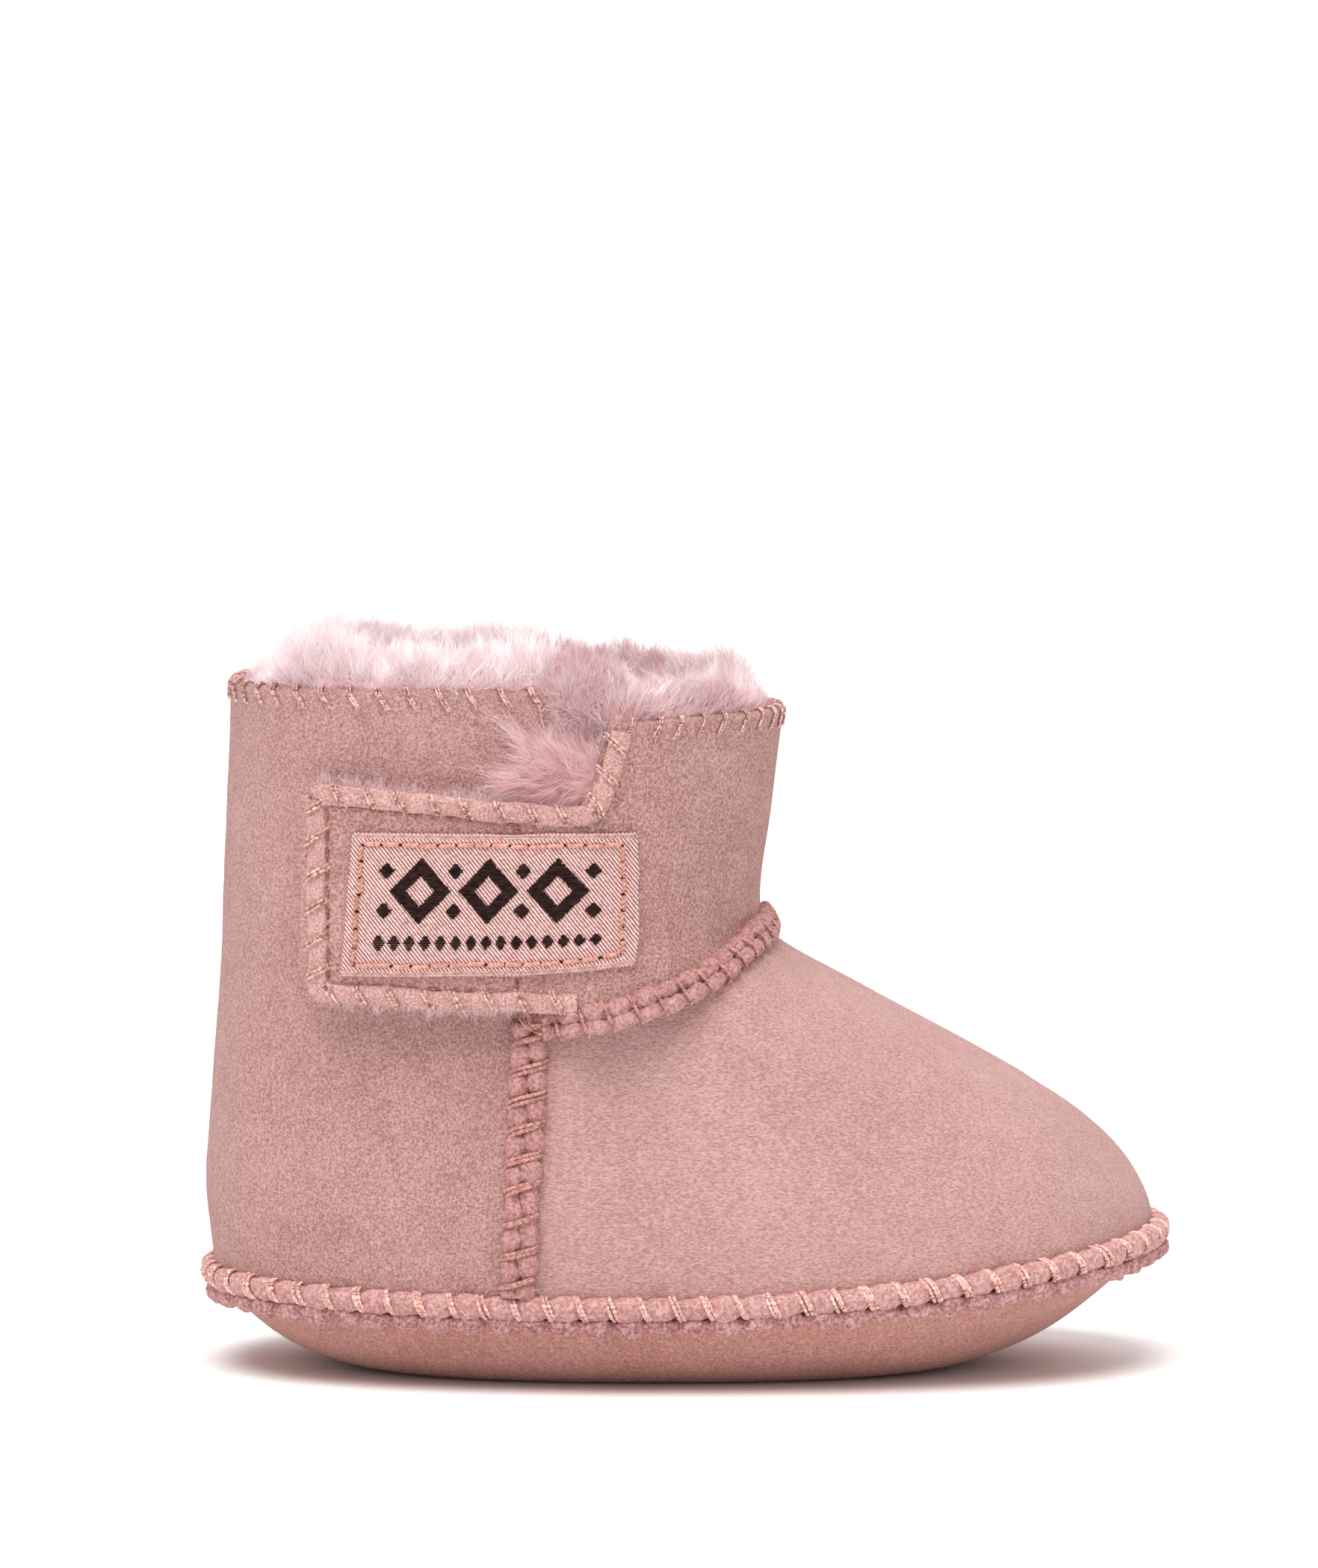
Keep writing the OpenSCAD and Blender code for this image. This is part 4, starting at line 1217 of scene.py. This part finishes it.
def wool_sheet(name, place, n, m, thick, mat, replaced, seed, lift=None):
    u, z = panel_grid(n, m, place)
    base = 0 if lift is None else lift(u, z)
    off = base - HIDE - WOOL_GAP - thick / 2
    ob, *_ = skin_sheet(name, at(u, z, off), thick, thick * 0.55, lumps(0.25, 3.0, seed))
    return finish_piece(ob, mat, "root", replaced)


BACK_PILE = 5.2
COLLAR = 2.6


def collar_share(x):
    """The pile stands lower at the very back and the very front, where it leans inwards."""
    return 0.08 + 0.92 * ease((x + 58.5) / 6.5) * ease((12.5 - x) / 6)


def crest(low):
    return lambda c, n: ((c[:, 2] > low) * (n[:, 2] > 0.2) + 0.02 * (c[:, 2] > low)).astype(float)


def inward(c, n):
    return np.sum(n * (c - AXIS_POINT) * np.array([1, 1, 0]), 1) < 0


def collar_wool(name, base, top, seed, crest_z, wisps, layers):
    """Layers of upright fibres and some longer wisps on the collar; top(centres) is its edge's height."""
    def collar(c, n):
        edge = top(c)
        return ((c[:, 2] > edge - 1.5) * (1 + 2 * (n[:, 2] > 0.3))
                + 0.35 * inward(c, n) * (c[:, 2] > edge - 12)).astype(float)

    def rising(p, n):
        return n * 0.5 + np.array([0, 0, 0.9]) - (0.45 + 0.25 * (1 - collar_share(p[:, :1]))) * from_middle(p)

    for k, (mat, count, length, width) in enumerate(layers):
        tufts(f"{name}_fibres_{k + 1}", base, count, collar, rising, length, width, mat, seed + k)
    count, length = wisps
    tufts(f"{name}_wisps", base, count, crest(crest_z - 0.6), rising, length, 0.05, WOOL_WISPS, seed + 3, 0.5)


def build_back_wool():
    def place(s, t):
        u, z = back_place(lerp(0.006, 0.985, s), t)
        p = skin(u, z)
        low_far = 1 - 0.15 * ease((p[..., 1] + 4) / 20)
        return u, z + COLLAR * collar_share(p[..., 0]) * low_far * ease((t - 0.8) / 0.2)
    base = wool_sheet("back_wool", place, 150, 90, BACK_PILE, WOOL_BASE, ["back_fleece"], 21)

    collar_wool("back_wool", base, lambda c: BACK_TOP, 31, BACK_TOP, (22000, 7.4),
                ((WOOL_DEEP, 16000, 3.0, 0.15), (WOOL_MID, 30000, 4.3, 0.11), (WOOL_TIPS, 34000, 5.6, 0.08)))

    def walls(c, n):
        return (inward(c, n) * (c[:, 2] < BACK_TOP - 8) * (c[:, 2] > 16)).astype(float)
    tufts("back_wool_wall_fibres", base, 24000, walls, lambda p, n: n + np.array([0, 0, 0.4]), 3.4, 0.2,
          WOOL_MID, 35)


def from_middle(p):
    """Level direction from the middle of the shaft."""
    return unit((p - AXIS_POINT) * np.array([1, 1, 0]))


def build_front_wool():
    base = wool_sheet("front_cuff_wool", front_wool_place, 150, 46, 4.6, WOOL_BASE, ["front_cuff_fleece"], 22,
                      lambda u, z: cuff_off(u, np.minimum(z, 88)))

    collar_wool("front_wool", base, lambda c: cuff_top(np.degrees(np.arctan2(c[:, 1], c[:, 0] + 24))), 41,
                FRONT_TOP, (9000, 6.6),
                ((FRONT_DEEP, 16000, 3.2, 0.15), (FRONT_MID, 28000, 4.5, 0.11),
                 (FRONT_TIPS, 26000, 5.6, 0.08)))


def front_wool_place(s, t):
    """The wool behind the cuff, from the far seam to the notch and the fold."""
    u, z = strip_place(lerp(0.01, 0.655, s), t * 0.985)
    rise = COLLAR * collar_share(skin(u, z)[..., 0]) * ease((t - 0.55) / 0.45) * ease((0.99 - s) / 0.05)
    return u, z + rise


def build_vamp_wool():
    wool = wool_sheet("vamp_wool", lambda s, t: vamp_place(lerp(0.004, 0.996, s), t), 120, 34, 5.0,
                      WOOL_INNER, ["vamp_fleece"], 23)
    tufts("vamp_wool_fibres", wool, 12000, lambda c, n: (n[:, 2] < 0.3) * (c[:, 0] < 45) * 1.0,
          lambda p, n: n, 3.0, 0.2, WOOL_MID, 51)


def build_insole():
    u = np.arange(SOLE_N) * 360 / SOLE_N
    edge = skin(u, seam_z(u))
    rim = INNER_RIM * 0.985
    rings = []
    for s in np.concatenate([np.linspace(0.5, 0.96, 8), np.linspace(0.96, 0.03, 44)]):
        low = len(rings) < 8
        p = edge.copy()
        p[:, :2] *= s * rim
        t = max(0, (s - FLAT_SHARE) / 0.52)
        p[:, 2] = 2.05 + (edge[:, 2] - 0.15 - 2.05) * t * t if low else lerp(10.4, edge[:, 2], s * s) - 0.15
        if not low:
            p[:, 2] += 0.5 * noise(p, 4, 4) * min(1, (0.96 - s) * 8)
        rings.append(p)
    ob = piece("insole_wool", ring_mesh(rings, 2.05, 10.2), WOOL_INNER, "root", ["insole_fleece"])
    tufts("insole_wool_fibres", ob, 26000, lambda c, n: (n[:, 2] > 0.5) * (c[:, 0] < 30) * 1.0,
          lambda p, n: n, 3.4, 0.2, WOOL_MID, 55)


def build_tab_wool():
    """Wool under the tab round the hook tape, with fibres that show past its edges."""
    rim, band = 0.3, 2.2
    front = TAB_END + 2.4 + 24.7

    def low(d):
        return lambda x: tab_bottom(x) + d

    def top(d):
        return lambda x: tab_top(x) - d

    for k, (x0, x1, a, b, n, m) in enumerate((
            (TAB_END + rim, TAB_END + band, low(rim), top(rim), 6, 50),
            (front, FOLD_X - 1, low(rim), top(rim), 16, 50),
            (TAB_END + 2.4, front - 0.2, low(rim), low(band), 50, 6),
            (TAB_END + 2.4, front - 0.2, top(band), top(rim), 50, 6))):
        s, t = shares(n, m)
        x = lerp(x0, x1, s)
        mid = side(x, lerp(a(x), b(x), t), (STAND_OFF - HIDE + 1.2) / 2)
        ob, *_ = skin_sheet(f"tab_wool_{k + 1}", mid, 1.0, 0.5)
        finish_piece(ob, WOOL_BASE, "tab", ["tab_fleece"] if k == 0 else ())
    # fibres along the free edges
    for k, (mat, count) in enumerate(((WOOL_DEEP, 2600), (WOOL_TIPS, 1800))):
        rand = np.random.default_rng(61 + k)
        line = Line(tab_outline(0.7, notch=False), 1.9)
        d = rand.random(count) * line.length
        p, n, up = line.point(d, rand.uniform(-0.5, 0.6, count))
        away = unit(p - tab_middle(count, 2.0))
        away = up * np.where(np.sum(up * away, -1, keepdims=True) < 0, -1, 1)
        dirs = unit(away + 0.15 * n + 0.5 * rand.normal(size=p.shape))
        long = rand.uniform(1.0, 2.6, count)
        made = ribbons(p, dirs, long, np.full(count, 0.08), n, 0.5, 1.6, 63 + k)
        fur(f"tab_edge_fibres_{k + 1}", made, mat, "tab")


def lump(name, middle, axes, radii, mat, rough, size):
    """A soft uneven ball with the given half sizes along three axes."""
    n = 40
    s, t = shares(n + 1, n // 2 + 1)
    a, b = 2 * np.pi * s[:-1], np.pi * t[:-1]
    ball = np.stack([np.sin(b) * np.cos(a), np.sin(b) * np.sin(a), np.cos(b)], -1)
    p = middle + (ball * radii) @ np.array(axes)
    p = p + unit(p - middle) * (rough * noise(p, size, 14))[..., None]
    m = n // 2
    i, j = np.meshgrid(np.arange(n), np.arange(1, m), indexing="ij")
    e = (i + 1) % n
    low = np.minimum(j + 1, m)
    quads = np.stack([i * (m + 1) + j, i * (m + 1) + low, e * (m + 1) + low, e * (m + 1) + j], -1)
    quads = quads.reshape(-1, 4)
    i, e = np.arange(n), (np.arange(n) + 1) % n
    tris = np.stack([0 * i, i * (m + 1) + 1, e * (m + 1) + 1], -1)
    quads, ends = quads[j.ravel() < m - 1], quads[j.ravel() == m - 1]
    tris = np.concatenate([tris, np.stack([ends[:, 0], 0 * ends[:, 0] + m, ends[:, 3]], -1)])
    return piece(name, (p.reshape(-1, 3), quads, tris), mat, "root")


def local_axes(x, z):
    """Forward, up and outward at a place on the closure side."""
    n = outward(-turn(x, z), z)
    up = unit(np.array([0, 0, 1.0]) - n * n[2])
    return np.array([np.cross(up, n) * np.sign(np.cross(up, n)[0]), up, n])


def build_tuft(name, x, z, depth, radii, lean, lengths, counts, finishes):
    """A ball of wool with long fibres that lean to one side."""
    axes = local_axes(x, z)
    core = lump(name, side(x, z, depth), axes, radii, TUFT_BASE, 0.5, 3.0)

    def shown(c, n):
        return ((n @ axes[2] > -0.2) * (1.0 + (c[:, 0] < x))).astype(float)

    for k, (mat, count, length, width) in enumerate(zip(finishes, counts, lengths, (0.11, 0.08, 0.055))):
        rand = np.random.default_rng(71 + k)
        roots, normals = surface_samples(core, count, shown, rand)
        dirs = unit(normals * np.array([1, 0.4, 1]) + np.array(lean)
                    + 0.33 * rand.normal(size=roots.shape) * [1, 0.5, 1])
        # longest on the side that they lean to
        stretch = 0.5 + 0.7 * ease(((roots - side(x, z, depth)) @ unit(np.array(lean)) + 4) / 8)
        long = length * stretch * rand.uniform(0.5, 1.15, count) * (0.85 + 0.3 * noise(roots, 2.5, 70))
        face = unit(normals + np.array([-0.2, -0.4, 0.5]))
        wide = width * rand.uniform(0.6, 1.3, count)
        made = ribbons(roots - normals * FIBRE_ROOT, dirs, long, wide, face, 0.45, 2.8, 73 + k)
        fur(f"{name}_fibres_{k + 1}", made, mat, "root")


def build_notch_tufts():
    """Wool that spills out of the notch between the cuff and the back panel, and fills its upper corner."""
    build_tuft("notch_wool", -13.4, 80.6, 0.8, (4.8, 3.1, 1.9), (-1.25, 0.3, 0.3), (6, 8, 11),
               (9000, 10000, 6000), (TUFT_DEEP, TUFT_MID, TUFT_TIPS))
    build_tuft("notch_corner_wool", -11.4, 88.6, -3.2, (5.0, 4.8, 3.0), (-0.25, -0.1, 0.5), (3.2, 3.8, 4.2),
               (9000, 12000, 9000), (FRONT_MID, WOOL_DEEP, WOOL_MID))


def build_seam_knot():
    """The messy top of the near side seam, under the tab's corner."""
    x, z = -18.6, 49.3
    axes = local_axes(x, z)
    lump("seam_knot", side(x, z, 1.0), axes, (2.9, 1.9, 1.5), RAW_SIDE, 0.4, 1.2)
    rand = np.random.default_rng(81)
    t = np.linspace(0, 1, 40)
    loops = []
    for _ in range(8):
        spin, phase = rand.uniform(-0.7, 0.7), rand.uniform(0, 2 * np.pi)
        r, flat = rand.uniform(1.2, 2.4), rand.uniform(0.5, 0.9)
        a = phase + t * rand.uniform(3.5, 6)
        local = np.stack([r * np.cos(a), r * flat * np.sin(a), 1.2 + 0.5 * np.sin(a * 1.7 + phase)], -1)
        c, s = math.cos(spin), math.sin(spin)
        local[:, :2] = local[:, :2] @ np.array([[c, s], [-s, c]])
        loops.append(side(x, z, 0.9) + rand.normal(0, 0.3, 3) + local @ axes)
    piece("seam_knot_threads", thread_mesh(np.stack(loops), 0.22, 0.9), THREAD_SIDE, "root")


def fuzz(name, ob, count, weight, stray, lengths, width, wave, wave_size, joints, seed, mat):
    """Short fibres that stand on a mesh in all directions."""
    rand = np.random.default_rng(seed)
    roots, normals = surface_samples(ob, count, weight, rand)
    dirs = unit(normals + stray * rand.normal(size=roots.shape))
    long, wide = rand.uniform(*lengths, count), np.full(count, width)
    fur(name, ribbons(roots, dirs, long, wide, normals, wave, wave_size, seed + 2, joints), mat, "root")


def build_fuzz():
    """Short nap on the suede and loose wool at the raw seam edges."""
    def outside(c, n):
        return (np.sum(n * from_middle(c), 1) + n[:, 2] > 0.1) * 1.0

    def anywhere(c, n):
        return np.ones(len(c))

    for k, ob in enumerate((VAMP, BACK)):
        fuzz(f"suede_nap_{k + 1}", ob, 14000, outside, 0.9, (0.25, 0.75), 0.035, 0.5, 1.0, 3, 91 + k,
             NAP_FIBRE)
    for k, rope in enumerate(ROPES):
        count, mat = (2500, NAP_FIBRE) if k else (5000, TUFT_MID)
        fuzz(f"seam_fuzz_{k + 1}", rope, count, anywhere, 0.8, (0.4, 1.3), 0.045, 0.6, 0.9, 4, 101 + k,
             mat)


# ---------------------------------------------------------------- build

studio()
build_sole()
build_sole_seam()
VAMP = build_vamp()
BACK = build_back()
build_strip()
build_tab_rim()
build_edge_stitches()
build_side_seam("side_seam_lateral", -1, 13.2, 48.6, "side_seam_lateral", "side_stitches_lateral", 3)
build_side_seam("side_seam_medial", 1, 13.2, 88.6, "side_seam_medial", "side_stitches_medial", 7)
build_instep_seam()
build_label()
build_motif()
build_patches()
build_box_stitches()
build_back_wool()
build_front_wool()
build_vamp_wool()
build_insole()
build_tab_wool()
build_notch_tufts()
build_seam_knot()
build_fuzz()
